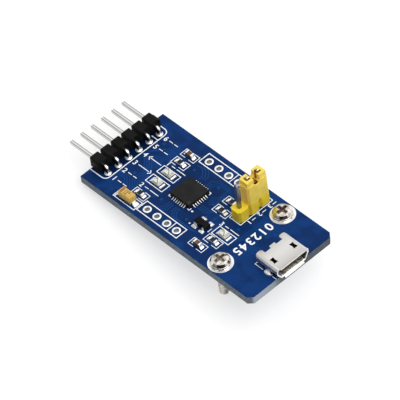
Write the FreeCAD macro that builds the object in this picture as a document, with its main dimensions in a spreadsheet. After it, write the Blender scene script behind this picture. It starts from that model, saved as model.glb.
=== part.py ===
"""USB to serial adapter module: a small circuit board with its headers, socket, screws and chips.

The frame: the origin is midway between the two screws, on the board's underside. +X runs along the
board towards the USB socket, +Y runs across it, and +Z points up, out of the side with the parts.
All lengths are in millimetres.
"""
import FreeCAD, Part
import math
import os
import re

import Sketcher

# Driving dimensions: name, value, meaning
SIZES = [
    # Circuit board
    ("board_length", 44.2, "board, along X"),
    ("board_width", 20.32, "board, along Y"),
    ("board_thick", 1.6, "board thickness"),
    ("board_bevel", 0.9, "corner cut at the socket end"),
    ("screw_inset", 10.2, "screw line to the socket end of the board"),
    ("screw_spacing", 15.24, "screw to screw"),
    ("pitch", 2.54, "pin and hole pitch"),
    ("plating", 0.05, "wall of a plated hole"),
    ("pad_thick", 0.05, "copper and tin above the board"),
    # Two rows of plain plated holes
    ("row_x", -19.03, "first hole of each row"),
    ("row_spacing", 15.24, "row to row"),
    ("row_holes", 4, "holes in a row"),
    ("row_hole_radius", 0.5, "finished hole"),
    ("row_pad_radius", 0.82, "pad round each hole"),
    # Screws and their rings
    ("screw_hole_radius", 1.1, "finished screw hole"),
    ("ring_radius", 2.38, "tinned ring round a screw"),
    ("screw_radius", 1.0, "thread's outer radius"),
    ("screw_neck_radius", 0.8, "plain neck under the head"),
    ("screw_length", 8.0, "under the head to the tip"),
    ("screw_point", 0.3, "bevel at the tip"),
    ("head_radius", 1.9, "screw head"),
    ("head_height", 1.3, "screw head"),
    ("head_side", 0.6, "height of the head's upright side"),
    ("head_crown", 0.95, "radius of the head's flat top"),
    ("head_shoulder", 1.55, "radius between the two slopes of the crown"),
    ("head_drop", 0.22, "from the flat top down to that radius"),
    ("recess_reach", 1.05, "centre to the end of a recess wing"),
    ("recess_wing", 0.42, "width of a recess wing"),
    ("recess_depth", 0.75, "cross recess"),
    # Pins and solder joints
    ("pin_width", 0.64, "square pins"),
    ("pin_bevel", 0.17, "bevel at the end of a pin"),
    ("pin_hole_radius", 0.5, "plated hole of a pin"),
    ("pin_tail", 1.5, "pin below the board"),
    ("joint_radius", 0.84, "solder joint at the board"),
    ("joint_low", 0.9, "solder below the board"),
    ("joint_low_slope", 17, "its side, degrees from upright"),
    ("joint_high", 0.34, "solder above the board"),
    ("joint_high_slope", 36, "its side, degrees from upright"),
    # Right-angle header
    ("header_pins", 6, "pins in the header"),
    ("header_hole_inset", 3.2, "pin holes to the header end of the board"),
    ("header_back", 0.85, "pin holes to the back of the moulding"),
    ("header_depth", 2.5, "moulding, along the pins"),
    ("header_height", 2.5, "moulding, across the pins"),
    ("header_lift", 0.15, "gap between the moulding and the board"),
    ("header_reach", 6.4, "free length of the pins"),
    ("header_bend", 0.3, "inner radius of a pin's bend"),
    ("block_bevel", 0.42, "bevels between the blocks of a moulding"),
    ("front_slot_depth", 0.7, "slot between blocks at the pin side"),
    ("front_slot_width", 0.46, "slot between blocks at the pin side"),
    # Jumper header, cap and clip
    ("jumper_x", -5.2, "jumper pins"),
    ("jumper_y", 2.26, "first jumper pin"),
    ("jumper_pins", 3, "pins in the jumper header"),
    ("base_width", 2.5, "jumper header moulding, along X"),
    ("base_height", 2.54, "jumper header moulding"),
    ("jumper_pin_top", 5.9, "pins above the moulding"),
    ("cap_width", 4.95, "jumper cap, along Y"),
    ("cap_thick", 2.45, "jumper cap, along X"),
    ("cap_shoulder", 4.3, "height of the cap's full section"),
    ("cap_height", 5.45, "height of the cap's two lobes"),
    ("cap_bevel", 0.35, "upright corners of the cap"),
    ("lobe_inset", 0.2, "step from the cap's sides to its lobes"),
    ("lobe_length", 1.6, "each lobe, along Y"),
    ("saddle_radius", 0.72, "hollow between the lobes"),
    ("saddle_rise", 0.12, "centre of the hollow above the shoulder"),
    ("window", 0.95, "square window over each pin"),
    ("cavity_height", 3.45, "inside of the cap"),
    ("cavity_length", 4.3, "inside of the cap, along Y"),
    ("peephole_length", 1.15, "hole through the saddle, along Y"),
    ("peephole_width", 1.0, "hole through the saddle, along X"),
    ("clip_sheet", 0.15, "spring sheet"),
    ("clip_half", 0.63, "half the clip's inner width"),
    ("clip_length", 4.2, "clip, along Y"),
    ("clip_mouth", 0.4, "clip's mouth above the cap's rim"),
    ("clip_pinch_low", 1.3, "lower end of the contact with the pin"),
    ("clip_pinch_high", 1.7, "upper end of the contact with the pin"),
    ("clip_shoulder", 2.7, "where the leaves reach full width"),
    ("clip_slit", 0.7, "slit between the two pairs of leaves"),
    ("clip_hole", 0.84, "holes for the pins in the clip's bridge"),
    # USB socket
    ("usb_overhang", 0.3, "shell's front beyond the board"),
    ("shell_length", 5.65, "shell from its back lobes to its front bend"),
    ("shell_width", 7.5, "shell"),
    ("shell_height", 2.5, "shell"),
    ("shell_sheet", 0.25, "shell sheet"),
    ("shell_side", 1.35, "height at which the sides turn in"),
    ("shell_turn", 0.9, "how far each side turns in down to the floor"),
    ("shell_top_round", 0.6, "upper bends of the shell"),
    ("shell_low_round", 0.4, "lower bends of the shell"),
    ("notch_depth", 1.05, "notches in the back of the roof"),
    ("notch_in", 0.65, "middle tab's half width"),
    ("notch_out", 2.1, "outer edge of a notch"),
    ("tab_short", 0.5, "middle tab behind the outer lobes"),
    ("lobe_round", 0.75, "rounded outer corner of a lobe"),
    ("lobe_hook", 0.3, "bevelled inner corner of a lobe"),
    ("floor_gap", 0.17, "from the back of the moulded block to the shell's floor"),
    ("lip_length", 0.5, "upper and lower lips of the mouth"),
    ("lip_rise", 0.22, "how far these lips flare"),
    ("rim_length", 0.14, "flared rim all round the mouth"),
    ("top_lip", 6.3, "width of the upper lip"),
    ("low_lip", 4.6, "width of the lower lip"),
    ("latch_x", -2.1, "latch windows from the front bend"),
    ("latch_y", 2.4, "latch windows from the middle"),
    ("latch_length", 1.26, "latch window"),
    ("latch_end", 0.74, "latch window at its ends"),
    ("latch_waist", 0.3, "latch window at its waist"),
    ("leg_x", -2.45, "legs from the front bend"),
    ("leg_width", 1.3, "legs, along X"),
    ("leg_depth", 1.2, "legs below the board's top"),
    ("slot_length", 1.8, "board slots for the legs"),
    ("slot_width", 0.7, "board slots for the legs"),
    ("mound_height", 0.3, "solder round the legs"),
    ("mound_slope", 20, "its side, degrees from upright"),
    ("tongue_thick", 0.6, "tongue"),
    ("tongue_width", 3.7, "tongue"),
    ("tongue_under", 1.3, "underside of the tongue above the board"),
    ("tongue_tip", 0.7, "tongue's tip behind the front bend"),
    ("insert_front", 3.3, "front of the moulded block behind the front bend"),
    ("insert_length", 1.35, "moulded block, along X"),
    ("contact_pitch", 0.65, "contact strips"),
    ("contact_count", 5, "contact strips"),
    ("contact_width", 0.3, "contact strips"),
    ("contact_thick", 0.12, "contact strips"),
    ("contact_foot", 0.85, "foot of each strip on the board"),
    # Controller chip
    ("controller_x", -15.92, "chip centre"),
    ("controller_y", -0.08, "chip centre"),
    ("controller_side", 5.0, "chip package"),
    ("controller_thick", 0.85, "chip package"),
    ("lead_pitch", 0.5, "chip pads"),
    ("leads_per_side", 7, "chip pads"),
    ("lead_width", 0.26, "chip pads"),
    ("lead_under", 0.35, "pad under the package"),
    ("lead_out", 0.8, "pad beyond the package"),
    ("lead_climb", 0.25, "solder up the package's side"),
    ("heat_pad", 3.2, "pad under the middle of the chip"),
    # Four-lead protection part
    ("surge_x", -8.8, "centre"),
    ("surge_y", -3.66, "centre"),
    ("surge_length", 2.9, "moulding, along X"),
    ("surge_width", 1.3, "moulding, along Y"),
    ("surge_height", 0.95, "moulding"),
    ("surge_gap", 0.08, "gap under the moulding"),
    ("surge_lead_x", 0.93, "leads from the centre"),
    ("surge_lead_width", 0.42, "leads"),
    ("surge_wide_lead", 0.8, "the one wide lead"),
    ("surge_lead_thick", 0.14, "lead sheet"),
    ("surge_foot", 1.3, "tip of each foot from the centre"),
    ("surge_pad_length", 1.1, "pads along X"),
    ("surge_pad_width", 0.8, "pads along Y"),
    # Moulded capacitor
    ("tank_x", -23.45, "centre"),
    ("tank_y", -8.26, "centre"),
    ("tank_length", 3.2, "moulding"),
    ("tank_width", 1.6, "moulding"),
    ("tank_height", 1.6, "moulding"),
    ("tank_draft", 5.0, "draft of the moulding, degrees"),
    ("tank_gap", 0.1, "gap under the moulding"),
    ("tank_strip", 1.2, "width of its end strips"),
    ("tank_sheet", 0.12, "end strips"),
    ("tank_pad", 0.75, "pad beyond the end strips"),
    # Lamps
    ("lamp_x", -22.3, "two signal lamps"),
    ("transmit_y", 0.69, "transmit lamp"),
    ("receive_y", -2.06, "receive lamp"),
    ("power_x", -4.2, "power lamp"),
    ("power_y", -2.81, "power lamp"),
    ("lamp_length", 2.0, "lamp base"),
    ("lamp_width", 1.25, "lamp base"),
    ("lamp_base", 0.35, "lamp base"),
    ("lens_length", 1.3, "lens"),
    ("lens_height", 0.45, "lens"),
    ("lens_draft", 7.0, "draft of the lens, degrees"),
    ("lamp_end", 0.35, "metal ends of a lamp"),
    # Chip resistors and chip capacitors
    ("chip_column", -22.65, "the three chips by the header"),
    ("chip_pair", -8.65, "the two chips by the jumper"),
    ("chip_length", 1.6, "chip parts"),
    ("chip_width", 0.82, "chip parts"),
    ("resistor_thick", 0.45, "resistors"),
    ("ceramic_thick", 0.8, "ceramic capacitors"),
    ("chip_end", 0.32, "metal ends of a chip"),
    ("end_sheet", 0.03, "metal ends of a chip"),
    ("solder_out", 0.28, "solder beyond a chip's end"),
    ("pad_out", 0.2, "bare pad beyond the solder"),
    ("solder_climb", 0.7, "share of the end's height that solder covers"),
]

FULL_TURN = 360
JOINT_SIDES = 12  # round things that repeat, or that solder hides, have this many sides
CHIPS = [
    # name, x, y, thickness
    ("vcc_capacitor", "chip_column", "6.29", "ceramic_thick"),
    ("transmit_resistor", "chip_column", "3.89", "resistor_thick"),
    ("receive_resistor", "chip_column", "-5.96", "resistor_thick"),
    ("jumper_resistor_back", "chip_pair", "3.44", "resistor_thick"),
    ("jumper_resistor_front", "chip_pair", "0.89", "resistor_thick"),
    ("power_resistor", "-4.67", "-5.01", "resistor_thick"),
    ("bus_capacitor", "-6.05", "-7.41", "ceramic_thick"),
]
LAMPS = [
    ("transmit_lamp", "lamp_x", "transmit_y"),
    ("receive_lamp", "lamp_x", "receive_y"),
    ("power_lamp", "power_x", "power_y"),
]

doc = FreeCAD.newDocument("UsbSerialModule")
sheet = doc.addObject("Spreadsheet::Sheet", "Sizes")
size = {}
for row, (name, number, meaning) in enumerate(SIZES, start=1):
    sheet.set(f"A{row}", meaning)
    sheet.set(f"B{row}", str(number))
    sheet.setAlias(f"B{row}", name)
    size[name] = number
doc.recompute()

pieces = []


def tie(thing, prop, text):
    """Bind a property to the sheet. Each word in the text that names a size becomes its cell."""
    bound = re.sub(r"[a-z_]+", lambda word: f"Sizes.{word[0]}" if word[0] in size else word[0], text)
    thing.setExpression(prop, bound)


def piece(name, x="0", y="0", z="0"):
    """A new sub-part, with its own origin at the given place in the board's frame."""
    body = doc.addObject("PartDesign::Body", name)
    body.Label = name
    body.AllowCompound = True
    for axis, place in zip("xyz", (x, y, z)):
        tie(body, f"Placement.Base.{axis}", place)
    pieces.append(body)
    return body


def origin_feature(body, role):
    return next(item for item in body.Origin.OriginFeatures if item.Role == role)


def drawing(body, plane, height="0"):
    """An empty sketch on one of the sub-part's own planes, moved along the plane's normal."""
    sketch = body.newObject("Sketcher::SketchObject", "Sketch")
    sketch.AttachmentSupport = [(origin_feature(body, f"{plane}_Plane"), "")]
    sketch.MapMode = "FlatFace"
    tie(sketch, "AttachmentOffset.Base.z", height)
    return sketch


def place_point(sketch, shape, end, x, y):
    """Tie a point of the sketch to a distance from the sketch's origin along each axis."""
    for kind, text in (("DistanceX", x), ("DistanceY", y)):
        number = sketch.addConstraint(Sketcher.Constraint(kind, -1, 1, shape, end, 1.0))
        tie(sketch, f"Constraints[{number}]", text)


def polygon(sketch, corners):
    """A closed outline through the given corners, each a pair of texts for tie."""
    count = len(corners)
    first = sketch.GeometryCount
    start = [
        FreeCAD.Vector(math.cos(math.tau * turn / count), math.sin(math.tau * turn / count), 0)
        for turn in range(count)
    ]
    for side in range(count):
        sketch.addGeometry(Part.LineSegment(start[side], start[(side + 1) % count]))
    for side in range(count):
        following = first + (side + 1) % count
        sketch.addConstraint(Sketcher.Constraint("Coincident", first + side, 2, following, 1))
    for side, (x, y) in enumerate(corners):
        place_point(sketch, first + side, 1, x, y)


def rectangle(sketch, low_x, high_x, low_y, high_y):
    polygon(sketch, [(low_x, low_y), (high_x, low_y), (high_x, high_y), (low_x, high_y)])


def circle(sketch, x, y, radius):
    shape = sketch.addGeometry(Part.Circle(FreeCAD.Vector(0, 0, 0), FreeCAD.Vector(0, 0, 1), 1.0))
    place_point(sketch, shape, 3, x, y)
    number = sketch.addConstraint(Sketcher.Constraint("Radius", shape, 1.0))
    tie(sketch, f"Constraints[{number}]", radius)


def pad(body, sketch, length, both_ways=False, draft=None, backwards=False):
    feature = body.newObject("PartDesign::Pad", "Pad")
    feature.Profile = sketch
    feature.SideType = "Symmetric" if both_ways else "One side"
    feature.Reversed = backwards
    tie(feature, "Length", length)
    if draft:
        tie(feature, "TaperAngle", draft)
    return feature


def cut_through(body, sketch):
    """A cut along the sketch's normal, all the way both ways."""
    feature = body.newObject("PartDesign::Pocket", "Pocket")
    feature.Profile = sketch
    feature.SideType = "Symmetric"
    feature.Type = "ThroughAll"
    return feature


def cut_down(body, sketch, depth, draft=None):
    """A cut from the sketch against its plane's normal."""
    feature = body.newObject("PartDesign::Pocket", "Pocket")
    feature.Profile = sketch
    feature.Type = "Length"
    tie(feature, "Length", depth)
    if draft:
        tie(feature, "TaperAngle", draft)
    return feature


def turned(body, sketch):
    """A full turn of a half section, drawn on the XZ plane, about the sub-part's Z axis."""
    feature = body.newObject("PartDesign::Revolution", "Revolution")
    feature.Profile = sketch
    feature.ReferenceAxis = (sketch, ["V_Axis"])
    feature.Angle = FULL_TURN
    return feature


def row_of(body, features, axis, count, spacing):
    """Repeats features along an axis, starting where they are."""
    pattern = body.newObject("PartDesign::LinearPattern", "LinearPattern")
    pattern.Originals = features
    pattern.Direction = (origin_feature(body, f"{axis}_Axis"), [""])
    tie(pattern, "Length", f"({count} - 1) * {spacing}")
    tie(pattern, "Occurrences", count)
    body.Tip = pattern
    return pattern


def edges_of(feature, wanted):
    """The names of the feature's edges whose middle point and direction pass the test."""
    doc.recompute()
    names = []
    for number, edge in enumerate(feature.Shape.Edges, start=1):
        middle = edge.valueAt((edge.FirstParameter + edge.LastParameter) / 2)
        direction = edge.tangentAt((edge.FirstParameter + edge.LastParameter) / 2)
        if wanted(middle, direction):
            names.append(f"Edge{number}")
    return names


def bevel(body, feature, wanted, width):
    made = body.newObject("PartDesign::Chamfer", "Chamfer")
    made.Base = (feature, edges_of(feature, wanted))
    tie(made, "Size", width)
    return made


def rounding(body, feature, wanted, radius):
    made = body.newObject("PartDesign::Fillet", "Fillet")
    made.Base = (feature, edges_of(feature, wanted))
    tie(made, "Radius", radius)
    return made


def near(value, goal):
    return abs(value - goal) < 1e-4


def runs_along(direction, axis):
    """True where an edge's direction lies along the axis, given as x, y or z."""
    return abs(getattr(direction, axis)) > 0.999


def square(sketch, x, y, side):
    rectangle(sketch, f"{x} - {side} / 2", f"{x} + {side} / 2", f"{y} - {side} / 2", f"{y} + {side} / 2")


def arc_corners(x, y, radius, first, turn, steps):
    """Corners along an arc, from the angle first over turn degrees."""
    corners = []
    for step in range(steps + 1):
        angle = math.radians(first + turn * step / steps)
        corners.append((f"{x} + {radius} * ({math.cos(angle):.6f})", f"{y} + {radius} * ({math.sin(angle):.6f})"))
    return corners


def regular(sketch, x, y, radius):
    """A many-sided outline in place of a circle."""
    step = FULL_TURN / JOINT_SIDES
    polygon(sketch, arc_corners(x, y, radius, step / 2, FULL_TURN - step, JOINT_SIDES - 1))


# Where things stand on the board
HEADER_LINE = "screw_inset - board_length + header_hole_inset"
HEADER_FIRST = "-(header_pins - 1) * pitch / 2"
USB_FRONT = "screw_inset + usb_overhang"
LEG_Y = "(shell_width - shell_sheet) / 2"


def circuit_board():
    body = piece("circuit_board")
    outline = drawing(body, "XY")
    left = "screw_inset - board_length"
    right = "screw_inset"
    half = "board_width / 2"
    polygon(
        outline,
        [
            (left, f"-{half}"),
            (f"{right} - board_bevel", f"-{half}"),
            (right, f"board_bevel - {half}"),
            (right, f"{half} - board_bevel"),
            (f"{right} - board_bevel", half),
            (left, half),
        ],
    )
    pad(body, outline, "board_thick")
    screw_holes = drawing(body, "XY")
    for side in "-+":
        regular(screw_holes, "0", f"{side}screw_spacing / 2", "(screw_hole_radius + plating)")
    cut_through(body, screw_holes)
    plain_holes = drawing(body, "XY")
    for side in "-+":
        regular(plain_holes, "row_x", f"{side}row_spacing / 2", "(row_hole_radius + plating)")
    row_of(body, [cut_through(body, plain_holes)], "X", "row_holes", "pitch")
    header_hole = drawing(body, "XY")
    regular(header_hole, HEADER_LINE, HEADER_FIRST, "pin_hole_radius")
    row_of(body, [cut_through(body, header_hole)], "Y", "header_pins", "pitch")
    jumper_hole = drawing(body, "XY")
    regular(jumper_hole, "jumper_x", "jumper_y", "pin_hole_radius")
    row_of(body, [cut_through(body, jumper_hole)], "Y", "jumper_pins", "pitch")
    slots = drawing(body, "XY")
    leg_slots(slots, f"{USB_FRONT} + leg_x", "slot_width / 2")
    cut_through(body, slots)
    return body


def leg_slots(sketch, x, radius):
    """The outlines of the two round-ended slots for the socket's legs."""
    half = "(slot_length - slot_width) / 2"
    steps = JOINT_SIDES // 2
    for side in "-+":
        y = f"{side}{LEG_Y}"
        front = arc_corners(f"{x} + {half}", y, f"({radius})", -90, FULL_TURN / 2, steps)
        back = arc_corners(f"{x} - {half}", y, f"({radius})", 90, FULL_TURN / 2, steps)
        polygon(sketch, front + back)


def plated_holes(name, x, y, hole, rim, count=None):
    """Plated barrels with a flat ring on each face of the board."""
    body = piece(name, x, y)
    wall = drawing(body, "XY")
    regular(wall, "0", "0", f"({hole} + plating)")
    made = [pad(body, wall, "board_thick")]
    for height, down in (("0", True), ("board_thick", False)):
        ring = drawing(body, "XY", height)
        circle(ring, "0", "0", rim)
        made.append(pad(body, ring, "pad_thick", backwards=down))
    bore = drawing(body, "XY")
    circle(bore, "0", "0", hole)
    made.append(cut_through(body, bore))
    if count:
        row_of(body, made, "X", count, "pitch")
    return body


def pin_joints(name, x, y, count, above):
    """Solder that fills each pin's hole, with a cone below the board and, if asked, one above."""
    body = piece(name, x, y)
    fill = drawing(body, "XY")
    regular(fill, "0", "0", "pin_hole_radius")
    low = drawing(body, "XY")
    regular(low, "0", "0", "joint_radius")
    made = [
        pad(body, fill, "board_thick"),
        pad(body, low, "joint_low", draft="-joint_low_slope", backwards=True),
    ]
    if above:
        high = drawing(body, "XY", "board_thick")
        regular(high, "0", "0", "joint_radius")
        made.append(pad(body, high, "joint_high", draft="-joint_high_slope"))
    hole = drawing(body, "XY")
    square(hole, "0", "0", "pin_width")
    made.append(cut_through(body, hole))
    row_of(body, made, "Y", count, "pitch")
    return body


def header_body():
    """Six blocks moulded in one strip, with bevels and slots between them."""
    body = piece(
        "header_body",
        f"{HEADER_LINE} - header_back - header_depth",
        HEADER_FIRST,
        "board_thick + header_lift",
    )
    section = drawing(body, "YZ")
    half = "pitch / 2"
    top = "header_height"
    polygon(
        section,
        [
            (f"block_bevel - {half}", "0"),
            (f"{half} - block_bevel", "0"),
            (half, "block_bevel"),
            (half, f"{top} - block_bevel"),
            (f"{half} - block_bevel", top),
            (f"block_bevel - {half}", top),
            (f"-{half}", f"{top} - block_bevel"),
            (f"-{half}", "block_bevel"),
        ],
    )
    hole = drawing(body, "YZ")
    square(hole, "0", "header_height / 2", "pin_width")
    blocks = [pad(body, section, "header_depth"), cut_through(body, hole)]
    row_of(body, blocks, "Y", "header_pins", "pitch")
    slot = drawing(body, "XY")
    rectangle(
        slot,
        "0",
        "front_slot_depth",
        f"-{half} - front_slot_width / 2",
        f"-{half} + front_slot_width / 2",
    )
    row_of(body, [cut_through(body, slot)], "Y", "(header_pins + 1)", "pitch")
    return body


def header_pin(number):
    """A square pin, bent down into the board behind the moulding."""
    body = piece(
        f"header_pin_{number + 1}",
        HEADER_LINE,
        f"{HEADER_FIRST} + {number} * pitch",
        "board_thick",
    )
    half = "pin_width / 2"
    level = "header_lift + header_height / 2"
    tip = "-(header_back + header_depth + header_reach)"
    bottom = "-(board_thick + pin_tail)"
    side = drawing(body, "XZ")
    polygon(
        side,
        [
            (half, bottom),
            (half, f"{level} + {half}"),
            (tip, f"{level} + {half}"),
            (tip, f"{level} - {half}"),
            (f"-{half}", f"{level} - {half}"),
            (f"-{half}", bottom),
        ],
    )
    stock = pad(body, side, "pin_width", both_ways=True)
    centre = size["header_lift"] + size["header_height"] / 2
    reach = size["pin_width"] / 2

    def outer_bend(middle, direction):
        return runs_along(direction, "y") and near(middle.x, reach) and near(middle.z, centre + reach)

    def inner_bend(middle, direction):
        return runs_along(direction, "y") and near(middle.x, -reach) and near(middle.z, centre - reach)

    inner = rounding(body, stock, inner_bend, "header_bend")
    outer = rounding(body, inner, outer_bend, "header_bend + pin_width")
    far = -(size["header_back"] + size["header_depth"] + size["header_reach"])
    low = -(size["board_thick"] + size["pin_tail"])

    def at_ends(middle, direction):
        return near(middle.x, far) or near(middle.z, low)

    bevel(body, outer, at_ends, "pin_bevel")
    return body


def jumper_header_body():
    """Three upright blocks moulded in one strip."""
    body = piece("jumper_header_body", "jumper_x", "jumper_y", "board_thick")
    section = drawing(body, "XY")
    half = "base_width / 2"
    end = "pitch / 2"
    polygon(
        section,
        [
            (f"{half} - block_bevel", f"-{end}"),
            (half, f"block_bevel - {end}"),
            (half, f"{end} - block_bevel"),
            (f"{half} - block_bevel", end),
            (f"block_bevel - {half}", end),
            (f"-{half}", f"{end} - block_bevel"),
            (f"-{half}", f"block_bevel - {end}"),
            (f"block_bevel - {half}", f"-{end}"),
        ],
    )
    hole = drawing(body, "XY")
    square(hole, "0", "0", "pin_width")
    blocks = [pad(body, section, "base_height"), cut_through(body, hole)]
    row_of(body, blocks, "Y", "jumper_pins", "pitch")
    return body


def jumper_pin(number):
    body = piece(f"jumper_pin_{number + 1}", "jumper_x", f"jumper_y + {number} * pitch", "board_thick")
    section = drawing(body, "XY", "-(board_thick + pin_tail)")
    square(section, "0", "0", "pin_width")
    stock = pad(body, section, "board_thick + pin_tail + base_height + jumper_pin_top")

    def at_ends(middle, direction):
        return not runs_along(direction, "z")

    bevel(body, stock, at_ends, "pin_bevel")
    return body


def jumper_cap():
    """The cap over the two back pins: a hollow block with two lobes and a saddle between them."""
    body = piece(
        "jumper_cap",
        "jumper_x",
        "jumper_y + (jumper_pins - 1.5) * pitch",
        "board_thick + base_height",
    )
    wide = "cap_thick / 2"
    long = "cap_width / 2"
    outline = drawing(body, "XY")
    polygon(
        outline,
        [
            (f"cap_bevel - {wide}", f"-{long}"),
            (f"{wide} - cap_bevel", f"-{long}"),
            (wide, f"cap_bevel - {long}"),
            (wide, f"{long} - cap_bevel"),
            (f"{wide} - cap_bevel", long),
            (f"cap_bevel - {wide}", long),
            (f"-{wide}", f"{long} - cap_bevel"),
            (f"-{wide}", f"cap_bevel - {long}"),
        ],
    )
    pad(body, outline, "cap_shoulder")
    lobes = drawing(body, "XY", "cap_shoulder")
    for side in "-+":
        near_edge = f"{side}({long} - lobe_inset)"
        far_edge = f"{side}({long} - lobe_inset - lobe_length)"
        rectangle(lobes, f"lobe_inset - {wide}", f"{wide} - lobe_inset", near_edge, far_edge)
    pad(body, lobes, "cap_height - cap_shoulder")
    saddle = drawing(body, "YZ")
    circle(saddle, "0", "cap_shoulder + saddle_rise", "saddle_radius")
    cut_through(body, saddle)
    windows = drawing(body, "XY")
    for side in "-+":
        square(windows, "0", f"{side}pitch / 2", "window")
    rectangle(
        windows,
        "-peephole_width / 2",
        "peephole_width / 2",
        "-peephole_length / 2",
        "peephole_length / 2",
    )
    cut_through(body, windows)
    cavity = drawing(body, "XY", "cavity_height")
    room = "clip_half + clip_sheet"
    rectangle(cavity, f"-({room})", room, "-cavity_length / 2", "cavity_length / 2")
    cut_down(body, cavity, "cavity_height")
    return body


def jumper_clip():
    """A folded spring strip in the cap: four leaves that pinch the pins, joined by a bridge."""
    body = piece(
        "jumper_clip",
        "jumper_x",
        "jumper_y + (jumper_pins - 1.5) * pitch",
        "board_thick + base_height",
    )
    pin = "pin_width / 2"
    half = "clip_half"
    bridge = "cavity_height - clip_sheet"
    inner = [
        (half, bridge),
        (half, "clip_shoulder"),
        (pin, "clip_pinch_high"),
        (pin, "clip_pinch_low"),
        (half, "clip_mouth"),
    ]
    outer = [
        (f"{half} + clip_sheet", "clip_mouth"),
        (f"{pin} + clip_sheet", "clip_pinch_low"),
        (f"{pin} + clip_sheet", "clip_pinch_high"),
        (f"{half} + clip_sheet", "clip_shoulder"),
        (f"{half} + clip_sheet", "cavity_height"),
    ]
    right = inner + outer
    left = [(f"-({x})", z) for x, z in reversed(right)]
    strip = drawing(body, "XZ")
    polygon(strip, right + left)
    pad(body, strip, "clip_length", both_ways=True)
    slit = drawing(body, "YZ")
    rectangle(slit, "-clip_slit / 2", "clip_slit / 2", "0", "clip_shoulder")
    cut_through(body, slit)
    holes = drawing(body, "XY", "cavity_height")
    for side in "-+":
        square(holes, "0", f"{side}pitch / 2", "clip_hole")
    cut_down(body, holes, "2 * clip_sheet")
    return body


def usb_shell():
    """The socket's shell, folded from one sheet: tube, flared lips, latch windows and two legs."""
    body = piece("usb_shell", USB_FRONT, "0", "board_thick")
    half = "shell_width / 2"
    floor = "(shell_width / 2 - shell_turn)"
    section = drawing(body, "YZ", "-shell_length")
    polygon(
        section,
        [
            (f"-{floor}", "0"),
            (floor, "0"),
            (half, "shell_side"),
            (half, "shell_height"),
            (f"-{half}", "shell_height"),
            (f"-{half}", "shell_side"),
        ],
    )
    block = pad(body, section, "shell_length")
    height = size["shell_height"]

    def upper_bends(middle, direction):
        return runs_along(direction, "x") and near(middle.z, height)

    def lower_bends(middle, direction):
        return runs_along(direction, "x") and middle.z < height / 2 + 0.2

    rounded = rounding(body, block, upper_bends, "shell_top_round")
    folded = rounding(body, rounded, lower_bends, "shell_low_round")
    doc.recompute()
    ends = [
        f"Face{number}"
        for number, face in enumerate(folded.Shape.Faces, start=1)
        if near(face.BoundBox.XLength, 0)
    ]
    tube = body.newObject("PartDesign::Thickness", "Thickness")
    tube.Base = (folded, ends)
    tube.Reversed = True
    tie(tube, "Value", "shell_sheet")

    back = "-shell_length"
    roof = drawing(body, "XY", "shell_height")
    inward = f"{back} + notch_depth"
    for side in "-+":
        polygon(
            roof,
            [
                (back, f"{side}notch_in"),
                (inward, f"{side}notch_in"),
                (inward, f"{side}notch_out"),
                (f"{back} + lobe_hook", f"{side}notch_out"),
                (back, f"{side}(notch_out + lobe_hook)"),
            ],
        )
        centre = (f"{back} + lobe_round", f"({half} - lobe_round)")
        arc = arc_corners(*centre, "lobe_round", 90, 90, 3)
        polygon(roof, [(back, f"{side}{half}")] + [(x, f"{side}({y})") for x, y in arc])
        latch = f"{side}latch_y"
        polygon(
            roof,
            [
                ("latch_x - latch_length / 2", f"{latch} - latch_end / 2"),
                ("latch_x", f"{latch} - latch_waist / 2"),
                ("latch_x + latch_length / 2", f"{latch} - latch_end / 2"),
                ("latch_x + latch_length / 2", f"{latch} + latch_end / 2"),
                ("latch_x", f"{latch} + latch_waist / 2"),
                ("latch_x - latch_length / 2", f"{latch} + latch_end / 2"),
            ],
        )
    cut_down(body, roof, "shell_height / 2")
    tab = drawing(body, "XY", "shell_height")
    rectangle(tab, back, f"{back} + tab_short", "-notch_in", "notch_in")
    cut_down(body, tab, "shell_height / 2")
    lower = drawing(body, "XZ")
    rectangle(lower, back, "floor_gap - insert_front - insert_length", "0", "shell_height / 2")
    cut_through(body, lower)

    rim_rise = "lip_rise * rim_length / lip_length"
    for kind, inside in (("PartDesign::AdditiveLoft", "0"), ("PartDesign::SubtractiveLoft", "shell_sheet")):
        loft = body.newObject(kind, "Rim")
        loft.Profile = rim_outline(body, inside, "0", "0")
        loft.Sections = [rim_outline(body, inside, "rim_length", rim_rise)]
        loft.Ruled = True

    lips = drawing(body, "XZ")
    polygon(
        lips,
        [
            ("0", "shell_height - shell_sheet"),
            ("lip_length", "shell_height - shell_sheet + lip_rise"),
            ("lip_length", "shell_height + lip_rise"),
            ("0", "shell_height"),
        ],
    )
    pad(body, lips, "top_lip", both_ways=True)
    low_lip = drawing(body, "XZ")
    polygon(
        low_lip,
        [
            ("0", "0"),
            ("lip_length", "-lip_rise"),
            ("lip_length", "shell_sheet - lip_rise"),
            ("0", "shell_sheet"),
        ],
    )
    pad(body, low_lip, "low_lip", both_ways=True)
    legs = drawing(body, "XY", "-leg_depth")
    leg_outlines(legs, "leg_x")
    pad(body, legs, "leg_depth + shell_side + shell_sheet")
    return body


def rim_outline(body, inside, x, rise):
    """The shell's outline at a place along X: in by a thickness, and out again by the flare."""
    sketch = drawing(body, "YZ", x)
    half = f"(shell_width / 2 - {inside} + {rise})"
    floor = f"(shell_width / 2 - shell_turn - 0.7 * {inside} + 0.7 * {rise})"
    top = f"(shell_height - {inside} + {rise})"
    bend = f"(shell_top_round - {inside})"
    right = [
        (floor, f"{inside} - {rise}"),
        (half, f"shell_side + 0.3 * {inside} - 0.3 * {rise}"),
        *arc_corners(f"{half} - {bend}", f"{top} - {bend}", bend, 0, 90, 3),
    ]
    polygon(sketch, right + [(f"-({y})", z) for y, z in reversed(right)])
    return sketch


def leg_outlines(sketch, x):
    """The cut outline of the two legs."""
    for side in "-+":
        rectangle(
            sketch,
            f"{x} - leg_width / 2",
            f"{x} + leg_width / 2",
            f"{side}(shell_width / 2 - shell_sheet)",
            f"{side}shell_width / 2",
        )


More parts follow.
